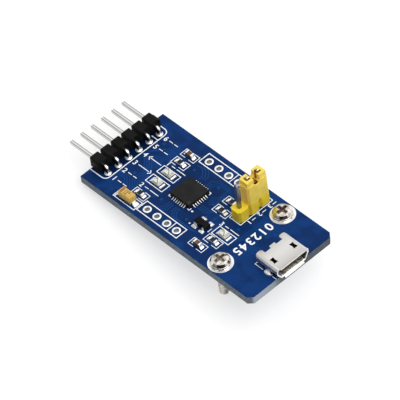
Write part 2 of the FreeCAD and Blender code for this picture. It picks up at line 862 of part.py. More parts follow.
def usb_solder():
    """Solder that fills the leg slots and climbs the legs."""
    body = piece("usb_solder", f"{USB_FRONT} + leg_x", "0", "board_thick")
    fill = drawing(body, "XY", "-board_thick")
    leg_slots(fill, "0", "slot_width / 2")
    pad(body, fill, "board_thick")
    mounds = drawing(body, "XY")
    leg_slots(mounds, "0", "slot_width / 2 + plating")
    pad(body, mounds, "mound_height", draft="-mound_slope")
    legs = drawing(body, "XY")
    leg_outlines(legs, "0")
    cut_through(body, legs)
    return body


def usb_insert():
    """The moulded block at the back of the shell, with the tongue in front of it."""
    body = piece("usb_tongue", USB_FRONT, "0", "board_thick")
    ceiling = "shell_height - shell_sheet"
    inside = "shell_width / 2 - shell_sheet"
    foot = "(shell_width / 2 - shell_turn) - 2 * shell_sheet"
    back = "-(insert_front + insert_length)"
    section = drawing(body, "YZ", back)
    polygon(
        section,
        [
            (f"-({foot})", "shell_sheet"),
            (foot, "shell_sheet"),
            (f"{inside} - 0.1", "shell_side + 0.1"),
            (f"{inside} - 0.1", f"{ceiling} - shell_top_round / 2"),
            (f"{inside} - 0.1 - shell_top_round / 2", ceiling),
            (f"shell_top_round / 2 + 0.1 - ({inside})", ceiling),
            (f"0.1 - ({inside})", f"{ceiling} - shell_top_round / 2"),
            (f"0.1 - ({inside})", "shell_side + 0.1"),
        ],
    )
    pad(body, section, "insert_length")
    tongue = drawing(body, "YZ", "-insert_front")
    rectangle(
        tongue,
        "-tongue_width / 2",
        "tongue_width / 2",
        "tongue_under",
        "tongue_under + tongue_thick",
    )
    pad(body, tongue, "insert_front - tongue_tip")
    groove = drawing(body, "YZ")
    rectangle(
        groove,
        "-(contact_count - 1) * contact_pitch / 2 - contact_width / 2",
        "-(contact_count - 1) * contact_pitch / 2 + contact_width / 2",
        "tongue_under - contact_thick",
        "tongue_under",
    )
    row_of(body, [cut_through(body, groove)], "Y", "contact_count", "contact_pitch")
    return body


def usb_contacts():
    """Five strips under the tongue, bent down behind the block to a foot on the board."""
    body = piece(
        "usb_contacts",
        USB_FRONT,
        "-(contact_count - 1) * contact_pitch / 2",
        "board_thick",
    )
    back = "-(insert_front + insert_length)"
    side = drawing(body, "XZ")
    polygon(
        side,
        [
            ("-tongue_tip - contact_thick", "tongue_under - contact_thick"),
            ("-tongue_tip - contact_thick", "tongue_under"),
            (f"{back} - contact_thick", "tongue_under"),
            (f"{back} - contact_thick", "contact_thick"),
            (f"{back} - contact_foot", "contact_thick"),
            (f"{back} - contact_foot", "0"),
            (back, "0"),
            (back, "tongue_under - contact_thick"),
        ],
    )
    strip = pad(body, side, "contact_width", both_ways=True)
    row_of(body, [strip], "Y", "contact_count", "contact_pitch")
    return body


def screw(name, side):
    """A pan-head machine screw with a cross recess, its head on the ring."""
    body = piece(name, "0", f"{side}screw_spacing / 2", "board_thick + pad_thick")
    neck = "-(board_thick + pad_thick)"
    tip = "-screw_length"
    section = drawing(body, "XZ")
    polygon(
        section,
        [
            ("0", "head_height"),
            ("head_crown", "head_height"),
            ("head_shoulder", "head_height - head_drop"),
            ("head_radius", "head_side"),
            ("head_radius", "0"),
            ("screw_neck_radius", "0"),
            ("screw_neck_radius", neck),
            ("screw_radius", neck),
            ("screw_radius", f"{tip} + screw_point"),
            ("screw_radius - screw_point", tip),
            ("0", tip),
        ],
    )
    turned(body, section)
    recess = drawing(body, "XY", "head_height")
    reach = "recess_reach"
    wing = "recess_wing / 2"
    polygon(
        recess,
        [
            (reach, f"-{wing}"),
            (reach, wing),
            (wing, wing),
            (wing, reach),
            (f"-{wing}", reach),
            (f"-{wing}", wing),
            (f"-{reach}", wing),
            (f"-{reach}", f"-{wing}"),
            (f"-{wing}", f"-{wing}"),
            (f"-{wing}", f"-{reach}"),
            (wing, f"-{reach}"),
            (wing, f"-{wing}"),
        ],
    )
    cut_down(body, recess, "recess_depth")
    return body


def controller_body():
    body = piece("controller_body", "controller_x", "controller_y", "board_thick + pad_thick")
    outline = drawing(body, "XY")
    square(outline, "0", "0", "controller_side")
    pad(body, outline, "controller_thick")
    return body


def controller_pads():
    """The pads round the chip with the solder that climbs its sides, and the one under it."""
    body = piece("controller_pads", "controller_x", "controller_y", "board_thick")
    edge = "controller_side / 2"
    side = drawing(body, "XZ")
    polygon(
        side,
        [
            (f"{edge} - lead_under", "0"),
            (f"{edge} + lead_out", "0"),
            (f"{edge} + lead_out", "pad_thick"),
            (f"{edge} + lead_climb", "pad_thick * 1.6"),
            (edge, "pad_thick + lead_climb"),
            (edge, "pad_thick"),
            (f"{edge} - lead_under", "pad_thick"),
        ],
    )
    lead = pad(body, side, "lead_width", both_ways=True)
    rows = body.newObject("PartDesign::MultiTransform", "MultiTransform")
    rows.Originals = [lead]
    along = []
    for sense in (False, True):
        step = doc.addObject("PartDesign::LinearPattern", "Half")
        step.Direction = (origin_feature(body, "Y_Axis"), [""])
        step.Reversed = sense
        tie(step, "Length", "(leads_per_side - 1) / 2 * lead_pitch")
        tie(step, "Occurrences", "(leads_per_side + 1) / 2")
        along.append(step)
    around = doc.addObject("PartDesign::PolarPattern", "Sides")
    around.Axis = (origin_feature(body, "Z_Axis"), [""])
    around.Angle = FULL_TURN
    around.Occurrences = 4
    rows.Transformations = along + [around]
    body.Tip = rows
    middle = drawing(body, "XY")
    square(middle, "0", "0", "heat_pad")
    pad(body, middle, "pad_thick")
    return body


def surge_part():
    """The four-lead protection part: its moulding, then its leads with the pads under them."""
    moulding = piece("surge_body", "surge_x", "surge_y", "board_thick + pad_thick + surge_gap")
    outline = drawing(moulding, "XY")
    rectangle(outline, "-surge_length / 2", "surge_length / 2", "-surge_width / 2", "surge_width / 2")
    block = pad(moulding, outline, "surge_height")
    high = size["surge_height"]

    def top_rim(middle, direction):
        return near(middle.z, high)

    bevel(moulding, block, top_rim, "surge_lead_thick")

    leads = piece("surge_leads", "surge_x", "surge_y", "board_thick")
    flank = "surge_width / 2"
    root = "pad_thick + surge_gap + surge_height / 2"
    knee = f"{flank} + surge_lead_thick * 1.4"
    for side, wide_x in (("-", ("-surge_lead_x", "surge_wide_lead")), ("", None)):
        for place in ("-surge_lead_x", "surge_lead_x"):
            width = wide_x[1] if wide_x and place == wide_x[0] else "surge_lead_width"
            bend = drawing(leads, "YZ", f"{place} - {width} / 2")
            polygon(
                bend,
                [
                    (f"{side}({flank})", root),
                    (f"{side}({flank})", f"{root} - surge_lead_thick"),
                    (f"{side}({knee} - surge_lead_thick)", f"{root} - surge_lead_thick"),
                    (f"{side}({knee} - surge_lead_thick)", "pad_thick"),
                    (f"{side}surge_foot", "pad_thick"),
                    (f"{side}surge_foot", "pad_thick + surge_lead_thick"),
                    (f"{side}({knee})", "pad_thick + surge_lead_thick"),
                    (f"{side}({knee})", root),
                ],
            )
            pad(leads, bend, width)
            plate = drawing(leads, "XY")
            rectangle(
                plate,
                f"{place} - surge_pad_length / 2",
                f"{place} + surge_pad_length / 2",
                f"{side}({flank} + surge_lead_thick / 2)",
                f"{side}({flank} + surge_lead_thick / 2 + surge_pad_width)",
            )
            pad(leads, plate, "pad_thick")


def tank_capacitor():
    """The moulded capacitor with drafted sides, and its two end strips."""
    middle = "board_thick + pad_thick + tank_gap + tank_height / 2"
    moulding = piece("tank_capacitor_body", "tank_x", "tank_y", middle)
    for down in (False, True):
        outline = drawing(moulding, "XY")
        rectangle(outline, "-tank_length / 2", "tank_length / 2", "-tank_width / 2", "tank_width / 2")
        pad(moulding, outline, "tank_height / 2", draft="-tank_draft", backwards=down)

    strips = piece("tank_capacitor_ends", "tank_x", "tank_y", "board_thick")
    end = "tank_length / 2"
    for side in ("-", ""):
        strip = drawing(strips, "XZ")
        polygon(
            strip,
            [
                (f"{side}({end} - tank_length / 5)", "pad_thick"),
                (f"{side}({end} - tank_length / 5)", "pad_thick + tank_gap"),
                (f"{side}({end})", "pad_thick + tank_gap"),
                (f"{side}({end})", "pad_thick + tank_gap + tank_height / 2"),
                (f"{side}({end} + tank_sheet)", "pad_thick + tank_gap + tank_height / 2"),
                (f"{side}({end} + tank_sheet)", "pad_thick + tank_height / 4"),
                (f"{side}({end} + tank_sheet + tank_pad / 2)", "pad_thick"),
            ],
        )
        pad(strips, strip, "tank_strip", both_ways=True)
        plate = drawing(strips, "XY")
        rectangle(
            plate,
            f"{side}({end} - tank_length / 5)",
            f"{side}({end} + tank_sheet + tank_pad)",
            "-tank_width / 2",
            "tank_width / 2",
        )
        pad(strips, plate, "pad_thick")


def end_caps(body, length, width, thick, cap):
    """Metal ends that wrap a chip, with the solder and the pad outside each."""
    end = f"{length} / 2"
    top = f"pad_thick + {thick}"
    for side in ("-", ""):
        section = drawing(body, "XZ")
        polygon(
            section,
            [
                (f"{side}({end} - {cap})", "0"),
                (f"{side}({end} + solder_out + pad_out)", "0"),
                (f"{side}({end} + solder_out + pad_out)", "pad_thick"),
                (f"{side}({end} + solder_out)", "pad_thick"),
                (f"{side}({end} + solder_out / 3)", f"pad_thick + {thick} * solder_climb / 3"),
                (f"{side}({end})", f"pad_thick + {thick} * solder_climb"),
                (f"{side}({end})", top),
                (f"{side}({end} - {cap})", top),
                (f"{side}({end} - {cap})", f"{top} - end_sheet"),
                (f"{side}({end} - end_sheet)", f"{top} - end_sheet"),
                (f"{side}({end} - end_sheet)", "pad_thick + end_sheet"),
                (f"{side}({end} - {cap})", "pad_thick + end_sheet"),
            ],
        )
        pad(body, section, width, both_ways=True)


def inner_block(body, length, width, thick):
    """The ceramic or plastic block that the metal ends hold."""
    outline = drawing(body, "XY")
    rectangle(
        outline,
        f"end_sheet - {length} / 2",
        f"{length} / 2 - end_sheet",
        f"-{width} / 2",
        f"{width} / 2",
    )
    pad(body, outline, f"{thick} - 2 * end_sheet")


def chip_part(name, x, y, thick):
    block = piece(f"{name}_body", x, y, "board_thick + pad_thick + end_sheet")
    inner_block(block, "chip_length", "chip_width", thick)
    ends = piece(f"{name}_ends", x, y, "board_thick")
    end_caps(ends, "chip_length", "chip_width", thick, "chip_end")


def lamp(name, x, y):
    """A surface lamp: its base, its metal ends and the drafted lens on top."""
    base = piece(f"{name}_base", x, y, "board_thick + pad_thick + end_sheet")
    inner_block(base, "lamp_length", "lamp_width", "lamp_base")
    ends = piece(f"{name}_ends", x, y, "board_thick")
    end_caps(ends, "lamp_length", "lamp_width", "lamp_base", "lamp_end")
    lens = piece(f"{name}_lens", x, y, "board_thick + pad_thick + lamp_base - end_sheet")
    outline = drawing(lens, "XY")
    rectangle(outline, "-lens_length / 2", "lens_length / 2", "-lamp_width / 2", "lamp_width / 2")
    pad(lens, outline, "lens_height", draft="-lens_draft")


def build():
    circuit_board()
    for name, side in (("hole_plating_front", "-"), ("hole_plating_back", "+")):
        plated_holes(name, "row_x", f"{side}row_spacing / 2", "row_hole_radius", "row_pad_radius", "row_holes")
    for name, side in (("screw_ring_front", "-"), ("screw_ring_back", "+")):
        plated_holes(name, "0", f"{side}screw_spacing / 2", "screw_hole_radius", "ring_radius")
    header_body()
    for number in range(size["header_pins"]):
        header_pin(number)
    pin_joints("header_solder", HEADER_LINE, HEADER_FIRST, "header_pins", above=True)
    jumper_header_body()
    for number in range(size["jumper_pins"]):
        jumper_pin(number)
    pin_joints("jumper_header_solder", "jumper_x", "jumper_y", "jumper_pins", above=False)
    jumper_cap()
    jumper_clip()
    usb_shell()
    usb_insert()
    usb_contacts()
    usb_solder()
    screw("screw_front", "-")
    screw("screw_back", "+")
    controller_body()
    controller_pads()
    surge_part()
    tank_capacitor()
    for name, x, y in LAMPS:
        lamp(name, x, y)
    for name, x, y, thick in CHIPS:
        chip_part(name, x, y, thick)


def check():
    """Every object has to be up to date, and every sub-part a valid shape of whole solids."""
    doc.recompute()
    for item in doc.Objects:
        if "Invalid" in item.State or "Error" in item.State:
            raise RuntimeError(f"{item.Label} ({item.Name}) failed: {item.State}")
    for body in pieces:
        if body.Shape.isNull() or not body.Shape.isValid() or not body.Shape.Solids:
            raise RuntimeError(f"{body.Label} has no valid solid")
        for solid in body.Shape.Solids:
            if solid.Volume <= 0:
                raise RuntimeError(f"{body.Label} has a solid turned inside out")


def write():
    os.makedirs("parts", exist_ok=True)
    for body in pieces:
        body.Shape.exportStep(f"parts/{body.Label}.step")
        print(body.Label, len(body.Shape.Solids), round(body.Shape.Volume, 4))


build()
check()
write()
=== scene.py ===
# %% [markdown]
# # A small adapter board, dressed in Blender
#
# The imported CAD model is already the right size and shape. This file gives it its looks: the blue
# solder mask, the white ink, bright solder, moulded plastic and plated steel, then a plain pale floor
# and soft studio light.
#
# First comes the frame. Its nodes stay where they are, and every new piece is made in the same
# millimetres as the board, so nothing has to be fitted afterwards.

import math

import bmesh
import bpy
from mathutils import Matrix, Vector


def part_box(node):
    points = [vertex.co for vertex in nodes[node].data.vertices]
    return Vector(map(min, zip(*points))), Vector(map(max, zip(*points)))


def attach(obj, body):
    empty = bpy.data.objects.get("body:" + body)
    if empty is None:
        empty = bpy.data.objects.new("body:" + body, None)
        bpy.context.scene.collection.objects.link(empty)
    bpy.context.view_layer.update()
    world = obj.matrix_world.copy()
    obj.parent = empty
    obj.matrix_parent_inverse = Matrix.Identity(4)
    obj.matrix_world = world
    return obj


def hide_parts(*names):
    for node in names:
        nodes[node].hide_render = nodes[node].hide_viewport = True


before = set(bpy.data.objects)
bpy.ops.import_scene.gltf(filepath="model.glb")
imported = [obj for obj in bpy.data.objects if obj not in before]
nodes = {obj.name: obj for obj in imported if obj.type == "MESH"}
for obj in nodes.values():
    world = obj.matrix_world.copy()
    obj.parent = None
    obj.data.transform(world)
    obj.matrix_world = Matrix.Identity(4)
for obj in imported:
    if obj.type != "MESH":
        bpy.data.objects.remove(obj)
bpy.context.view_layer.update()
MM = 0.001
BOARD_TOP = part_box("circuit_board")[1].z / MM
print(len(nodes), "nodes, board top at", round(BOARD_TOP, 3), "mm")

# %% [markdown]
# ## The camera
#
# The photograph was taken from far away with a long lens, so the board's edges stay almost parallel.
# A camera can be placed by aiming it at an empty, or by writing down its own three axes. The axes are
# used here because they were measured from the rows of pins and holes, and they hold the roll as well.

# %% Set the camera at the photograph's angle
RIGHT = Vector((0.683, 0.724, -0.101)).normalized()
TOWARDS = Vector((0.540, -0.407, 0.737))
TOWARDS = (TOWARDS - RIGHT * TOWARDS.dot(RIGHT)).normalized()
UP = TOWARDS.cross(RIGHT)
PIXELS_PER_MM = 5.631
PICTURE = 400  # pixels across
SENSOR = 36.0  # millimetres across
DISTANCE = 820.0
aim = Vector((-12.0, -0.16, BOARD_TOP)) - RIGHT * 0.824 + UP * 0.961
lens = bpy.data.cameras.new("camera")
lens.sensor_width = SENSOR
lens.lens = PIXELS_PER_MM * DISTANCE * SENSOR / PICTURE
lens.clip_start = 0.05
lens.clip_end = 20
camera = bpy.data.objects.new("camera", lens)
bpy.context.scene.collection.objects.link(camera)
turned = Matrix((RIGHT, UP, TOWARDS)).transposed().to_4x4()
camera.matrix_world = Matrix.Translation((aim + TOWARDS * DISTANCE) * MM) @ turned
bpy.context.scene.camera = camera
print("lens", round(lens.lens), "mm")

# %% [markdown]
# ## Writing shaders as sums
#
# A material is a graph of nodes. Wiring each Math node by hand hides what is meant, so one small class
# stands for an output socket and lets Python's own signs add the Math nodes. A second class holds the
# material and has one method that adds any other node.

# %% One output of a shader node
class Field:
    """One output of a shader node, which can be added, taken away and multiplied."""

    def __init__(self, finish, socket):
        self.finish = finish
        self.socket = socket

    def math(self, operation, *values):
        return self.finish.node("ShaderNodeMath", {"operation": operation}, dict(enumerate(values)))

    def __add__(self, other):
        return self.math("ADD", self, other)

    def __radd__(self, other):
        return self.math("ADD", other, self)

    def __sub__(self, other):
        return self.math("SUBTRACT", self, other)

    def __rsub__(self, other):
        return self.math("SUBTRACT", other, self)

    def __mul__(self, other):
        return self.math("MULTIPLY", self, other)

    def __rmul__(self, other):
        return self.math("MULTIPLY", other, self)


# %% One material
class Finish:
    """A material. Its place field is the point on the piece in millimetres, in the board's own frame."""

    def __init__(self, name):
        self.material = bpy.data.materials.new(name)
        self.material.use_nodes = True
        self.tree = self.material.node_tree
        self.tree.nodes.clear()
        metres = self.node("ShaderNodeTexCoord", {}, {}, "Object")
        scale = {"Vector": metres, "Scale": 1000.0}
        self.place = self.node("ShaderNodeVectorMath", {"operation": "SCALE"}, scale)

    def node(self, kind, settings, sockets, output=0):
        made = self.tree.nodes.new(kind)
        for name, value in settings.items():
            setattr(made, name, value)
        for name, value in sockets.items():
            if isinstance(value, Field):
                self.tree.links.new(value.socket, made.inputs[name])
            else:
                made.inputs[name].default_value = value
        return Field(self, made.outputs[output])

    def stretch(self, x, y, z):
        """The place, scaled along each axis."""
        sockets = {0: self.place, 1: (x, y, z)}
        return self.node("ShaderNodeVectorMath", {"operation": "MULTIPLY"}, sockets)

    def noise(self, scale, detail=3.0, vector=None):
        """Soft noise from 0 to 1, with scale lumps to the millimetre."""
        sockets = {"Vector": vector or self.place, "Scale": scale, "Detail": detail}
        return self.node("ShaderNodeTexNoise", {}, sockets)

    def step(self, value, low, high):
        """0 below low, 1 above high, and smooth between them."""
        settings = {"interpolation_type": "SMOOTHSTEP"}
        sockets = {"Value": value, "From Min": low, "From Max": high}
        return self.node("ShaderNodeMapRange", settings, sockets)

    def part(self, axis):
        """One coordinate of the place, in millimetres."""
        return self.node("ShaderNodeSeparateXYZ", {}, {0: self.place}, axis)

    def slope(self, axis):
        """How much the surface faces along an axis, from -1 to 1."""
        normal = self.node("ShaderNodeTexCoord", {}, {}, "Normal")
        return self.node("ShaderNodeSeparateXYZ", {}, {0: normal}, axis)

    def size(self, value):
        """A value without its sign."""
        return value.math("ABSOLUTE", value)

    def larger(self, first, second):
        """The larger of two values, which joins two masks."""
        return first.math("MAXIMUM", first, second)

    def off_row(self, value, pitch):
        """How far a value is from the nearest whole number of pitches."""
        return value.math("PINGPONG", value, pitch / 2)

    def near(self, value, middle, reach, soft=0.02):
        """1 where a value is within reach of the middle, and 0 outside."""
        return 1 - self.step(self.size(value - middle), reach, reach + soft)

    def mix(self, share, first, second):
        """The first colour where share is 0 and the second where it is 1."""
        settings = {"data_type": "RGBA"}
        return self.node("ShaderNodeMix", settings, {0: share, 6: first, 7: second}, 2)

    def bump(self, height, depth):
        """A normal from a height field that is depth millimetres deep."""
        sockets = {"Height": height, "Strength": 1.0, "Distance": depth * MM}
        return self.node("ShaderNodeBump", {}, sockets)

    def close(self, **sockets):
        """Adds the shader and gives the material. A socket's name has _ for its spaces."""
        named = {key.replace("_", " "): value for key, value in sockets.items()}
        shader = self.node("ShaderNodeBsdfPrincipled", {}, named)
        output = self.tree.nodes.new("ShaderNodeOutputMaterial")
        self.tree.links.new(shader.socket, output.inputs["Surface"])
        print(self.material.name, "has", len(self.tree.nodes), "shader nodes")
        return self.material


# %% Finishes with one noise, and how a node gets its finish
def speckled(name, first, second, scale, detail, dull, spread, depth, **more):
    """A finish whose one noise mixes two shades, roughens the surface and bumps it."""
    finish = Finish(name)
    speck = finish.noise(scale, detail)
    return finish.close(
        Base_Color=finish.mix(speck, first, second),
        Roughness=dull + speck * spread,
        Normal=finish.bump(speck, depth),
        **more,
    )


def dress(material, *names):
    """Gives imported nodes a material."""
    for name in names:
        nodes[name].data.materials[0] = material
    print(material.name, "on", len(names), "nodes")


def ending(*words):
    """The names of the nodes that end with one of the words."""
    return [name for name in nodes if name.endswith(words)]


# %% [markdown]
# ## The board's solder mask
#
# The real board is a pale glass and resin sheet. Its faces carry copper under a glossy blue mask, and its
# sawn edges show the bare sheet. Faces and edges could have a material each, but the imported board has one,
# so the way that the surface faces picks blue for the faces and grey for the edges. The mask lies a little
# darker over bare sheet than over copper, which soft noise stands for, and it has the slight orange peel of
# a sprayed coat.
#
# Glossy blue close to a black part looks darker, because it mirrors that part. So the blue deepens round
# the chip and beside the header.

# %% Blue of the faces
CHIP_X, CHIP_Y = -15.92, -0.08
mask = Finish("blue_mask")
blotch = mask.step(mask.noise(0.28, 2.0), 0.42, 0.6)
open_blue = mask.mix(blotch, (0.0012, 0.021, 0.1, 1), (0.002, 0.032, 0.148, 1))
from_chip_x, from_chip_y = mask.part(0) - CHIP_X, mask.part(1) - CHIP_Y
from_chip = from_chip_x * from_chip_x + from_chip_y * from_chip_y  # squared
by_chip = 1 - mask.step(from_chip, 12.0, 90.0)
by_header = mask.near(mask.part(0), -31.6, 1.45, 0.45) * mask.near(mask.part(1), 0.0, 7.0, 0.5)
chip_blue = mask.mix(by_chip * 0.75, open_blue, (0.001, 0.0155, 0.072, 1))
blue = mask.mix(by_header * 0.75, chip_blue, (0.0006, 0.004, 0.022, 1))
print("the blue takes", len(mask.tree.nodes), "shader nodes")

# %% [markdown]
# The sawn edge shows glass fibres that lie flat, so its noise is squeezed upright. Towards one corner of
# the socket's end the edge catches the light, and behind the socket it lies in shade. Two soft masks along
# the edge hold that, so it stays from every side.

# %% Bare edge, and the whole mask
fibre = mask.noise(1.0, 4.0, mask.stretch(1.6, 1.6, 12.0))
bare = mask.mix(mask.step(fibre, 0.38, 0.62), (0.08, 0.1, 0.115, 1), (0.2, 0.235, 0.265, 1))
socket_end = mask.step(mask.part(0), 9.9, 10.1)
shady = socket_end * mask.step(mask.part(1), -5.0, -2.5)
pale = socket_end * (1 - mask.step(mask.part(1), -9.5, 2.0))
lit_edge = mask.mix(pale, bare, (0.34, 0.37, 0.42, 1))
edge = mask.mix(shady * 0.55, lit_edge, (0.035, 0.04, 0.05, 1))
is_face = mask.step(mask.size(mask.slope(2)), 0.6, 0.8)
peel = mask.noise(2.2, 2.0)
BLUE_MASK = mask.close(
    Base_Color=mask.mix(is_face, edge, blue),
    Roughness=0.6 - is_face * 0.28 + peel * 0.05,
    Specular_IOR_Level=0.07,
    Normal=mask.bump(peel * is_face + fibre * (1 - is_face), 0.012),
)
dress(BLUE_MASK, "circuit_board")

# %% [markdown]
# ## Tin and solder
#
# Bare copper on a board is tinned, so rings and pads are bright but never mirror flat: the tin froze in
# soft ripples. Rippled meshes would take thousands of faces, and a metal with low noise in its roughness
# and a shallow bump looks the same. Inside a hole the tin sees little light, so the bores are a darker
# grey. Solder is the same metal, shinier and smoother.

# %% Tinned copper
SIDES = (("front", -7.62), ("back", 7.62))
tin = Finish("tinned_copper")
frozen = tin.noise(1.6, 3.0)
bore = tin.step(tin.part(2), 0.02, 0.1) * tin.step(BOARD_TOP - 0.02 - tin.part(2), 0.0, 0.1)
TIN = tin.close(
    Base_Color=tin.mix(bore, (0.94, 0.96, 0.96, 1), (0.42, 0.42, 0.41, 1)),
    Metallic=0.75,
    Roughness=0.3 + frozen * 0.12,
    Normal=tin.bump(frozen, 0.01),
)
dress(TIN, *[f"{kind}_{side}" for kind in ("hole_plating", "screw_ring") for side, y in SIDES])
dress(TIN, *ending("_ends"))


# %% Solder, and pins and springs with painted reflection and shade
def bright_metal(name, colour, dull, ripple, scale, depth):
    """A plated metal: its tint, how dull it is, and ripples scale to the millimetre and depth mm deep."""
    metal = Finish(name)
    wave = metal.noise(scale, 3.0)
    stain = metal.noise(scale * 0.3, 2.0)
    darker = tuple(part * 0.82 for part in colour[:3]) + (1,)
    return metal.close(
        Base_Color=metal.mix(metal.step(stain, 0.35, 0.7), colour, darker),
        Metallic=1.0,
        Roughness=dull + wave * 0.1 + stain * ripple,
        Normal=metal.bump(wave, depth),
    )


SOLDER = bright_metal("bright_solder", (0.76, 0.76, 0.76, 1), 0.12, 0.08, 2.4, 0.012)
# The open jumper pin is painted dark, a painted reflection of the dark board round it. The pins under the
# cap are tinted as a painted reflection of its yellow walls, and the springs are a brass darkened as painted
# shade inside the cap and the socket.
PIN_PAINTED_CAP_REFLECTION = bright_metal("pin_plating_painted_yellow", (0.72, 0.58, 0.3, 1), 0.3, 0.1, 3.0, 0.004)
PIN_PAINTED_DARK = bright_metal("pin_plating_painted_dark", (0.3, 0.3, 0.31, 1), 0.24, 0.1, 3.0, 0.004)
SPRING_PAINTED_SHADE = bright_metal("spring_brass_painted_shade", (0.5, 0.3, 0.12, 1), 0.25, 0.1, 3.0, 0.004)
dress(SOLDER, "header_solder", "jumper_header_solder", "usb_solder", "surge_leads")
dress(SOLDER, *ending("lamp_ends"))
dress(PIN_PAINTED_DARK, "jumper_pin_1")
dress(PIN_PAINTED_CAP_REFLECTION, "jumper_pin_2", "jumper_pin_3")
dress(SPRING_PAINTED_SHADE, "jumper_clip", "usb_contacts")

# %% [markdown]
# ### The header's pins
#
# A pin is drawn wire with a bevel along each edge. A bright painted highlight runs along its top between two
# darker lines of painted reflection, where the edges mirror the dark board. Each pin could have a material
# of its own, but they stand at one pitch, so the distance from the nearest pin's middle draws the lines on
# all six at once. Where a pin bends down behind the black block it mirrors that block, so there its edges
# are painted almost black round a brighter painted highlight.

# %% Plated pins
PITCH = 2.54
HEADER_ROW = [-6.35 + PITCH * number for number in range(6)]
pin = Finish("pin_plating")
draw_mark = pin.noise(3.0, 3.0)
beside = pin.off_row(pin.part(1) - HEADER_ROW[0], PITCH)
bend = pin.step(pin.part(0), -32.2, -31.6)
wall = pin.step(pin.size(pin.slope(1)), 0.5, 0.8)
# Painted highlight along the middle of each pin's top, and painted dark reflection along its edges.
edges = pin.step(beside, 0.13, 0.2) * (1 - wall * 0.6)
straight_painted_shine = pin.mix(edges, (0.78, 0.78, 0.76, 1), (0.3, 0.3, 0.29, 1))
bent_painted_shine = pin.mix(pin.step(beside, 0.1, 0.19), (0.9, 0.9, 0.89, 1), (0.04, 0.04, 0.04, 1))
PIN_TIN = pin.close(
    Base_Color=pin.mix(bend, straight_painted_shine, bent_painted_shine),
    Metallic=1.0,
    Roughness=0.22 + draw_mark * 0.12 - bend * 0.08,
    Normal=pin.bump(draw_mark, 0.004),
)
dress(PIN_TIN, *[name for name in nodes if name.startswith("header_pin")])

# %% [markdown]
# ### The chip's pads
#
# Solder on a narrow pad is a round ridge: its crest shines and its flanks mirror the dark board. The ridges
# could be modelled one by one. Each is under two pixels wide here, so the same distance to a row draws
# their crests, along X on two sides of the chip and along Y on the others. The mask covers the far end of
# each pad, so that end is blue.

# %% Solder ridges round the chip
LEAD_PITCH = 0.5
MASK_OPENING = 3.06  # from the chip's middle
ridge = Finish("solder_ridges")
from_x, from_y = ridge.part(0) - CHIP_X, ridge.part(1) - CHIP_Y
reach_x, reach_y = ridge.size(from_x), ridge.size(from_y)
row_along_x = ridge.step(reach_y - reach_x, -0.01, 0.01)
off_x, off_y = ridge.off_row(from_x, LEAD_PITCH), ridge.off_row(from_y, LEAD_PITCH)
off_crest = row_along_x * off_x + (1 - row_along_x) * off_y
crest = ridge.mix(ridge.step(off_crest, 0.05, 0.095), (0.95, 0.96, 0.96, 1), (0.02, 0.025, 0.035, 1))
bare_pad = 1 - ridge.step(ridge.larger(reach_x, reach_y), MASK_OPENING, MASK_OPENING + 0.04)
lumps = ridge.noise(3.0, 2.0)
CHIP_PADS = ridge.close(
    Base_Color=ridge.mix(bare_pad, (0.0012, 0.019, 0.09, 1), crest),
    Metallic=bare_pad * 0.6,
    Roughness=0.35 + lumps * 0.1,
    Specular_IOR_Level=0.1,
    Normal=ridge.bump(lumps, 0.004),
)
dress(CHIP_PADS, "controller_pads")

# %% [markdown]
# ## Rolled and folded steel
#
# The socket's shell is thin steel, nickel plated after it was punched and folded. Rolling left it with a
# fine grain along the strip. An anisotropic shader could show that, but it needs a direction on every face.
# Noise that is stretched along one axis needs none, and it only touches the roughness and a very shallow
# bump, so the shell keeps its satin white look.
#
# The sheet's inner side lies in shade, so it is painted darker, in streaks. A surface that faces the
# socket's own axis is inside, so the normal times the way from the axis tells the two sides apart. The cut
# walls of the latch windows are painted black, a painted shade for the dark inside of the windows.

# %% Shell steel
SOCKET_AXIS = 2.85
LATCH_X, LATCH_Y = 8.4, 2.4
shell = Finish("satin_nickel")
grain = shell.noise(1.0, 3.0, shell.stretch(0.7, 14.0, 14.0))
cloud = shell.noise(0.5, 2.0)
outside = shell.mix(cloud, (0.72, 0.71, 0.69, 1), (0.78, 0.77, 0.75, 1))
streak = shell.step(shell.noise(1.0, 2.0, shell.stretch(0.3, 1.3, 0.5)), 0.38, 0.55)
# Painted shade on the sheet's inner side, in streaks.
painted_shade_inside = shell.mix(streak, (0.3, 0.28, 0.25, 1), (0.8, 0.78, 0.73, 1))
outward = shell.slope(1) * shell.part(1) + shell.slope(2) * (shell.part(2) - SOCKET_AXIS)
behind_mouth = shell.step(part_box("usb_shell")[1].x / MM - shell.part(0), 0.38, 0.5)
inside = shell.step(0 - outward, 0.0, 0.3) * behind_mouth
window = shell.near(shell.part(0), LATCH_X, 0.7) * shell.near(shell.size(shell.part(1)), LATCH_Y, 0.5)
# Painted shade: the cut walls of the latch windows are painted black.
window_shade = window * shell.step(BOARD_TOP + 2.47 - shell.part(2), 0.0, 0.03)
SHELL_STEEL = shell.close(
    Base_Color=shell.mix(window_shade, shell.mix(inside, outside, painted_shade_inside), (0.02, 0.02, 0.02, 1)),
    Metallic=1.0,
    Roughness=0.26 + grain * 0.1 + cloud * 0.05,
    Normal=shell.bump(grain, 0.0025),
)
dress(SHELL_STEEL, "usb_shell")

# %% [markdown]
# ## Screw steel
#
# The screws are bright nickel with soft dents. Shade is painted on the heads: a painted shade in the cross
# recess, ragged painted shade along its wings that makes the recess look wider, and a painted shadow in the
# gap under the head. It could be painted by hand. Masks from the height and the distance to the screw's axis
# fit both screws without a hand-painted texture, and the recess of the back screw is browner.

# %% Masks over a screw
screw = Finish("screw_nickel")
dents = screw.noise(1.5, 3.0)
across, along = screw.part(0), screw.size(screw.part(1)) - 7.62
out = across * across + along * along  # squared
height = screw.part(2)
head_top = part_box("screw_front")[1].z / MM
on_head = screw.step(height, BOARD_TOP, BOARD_TOP + 0.1)
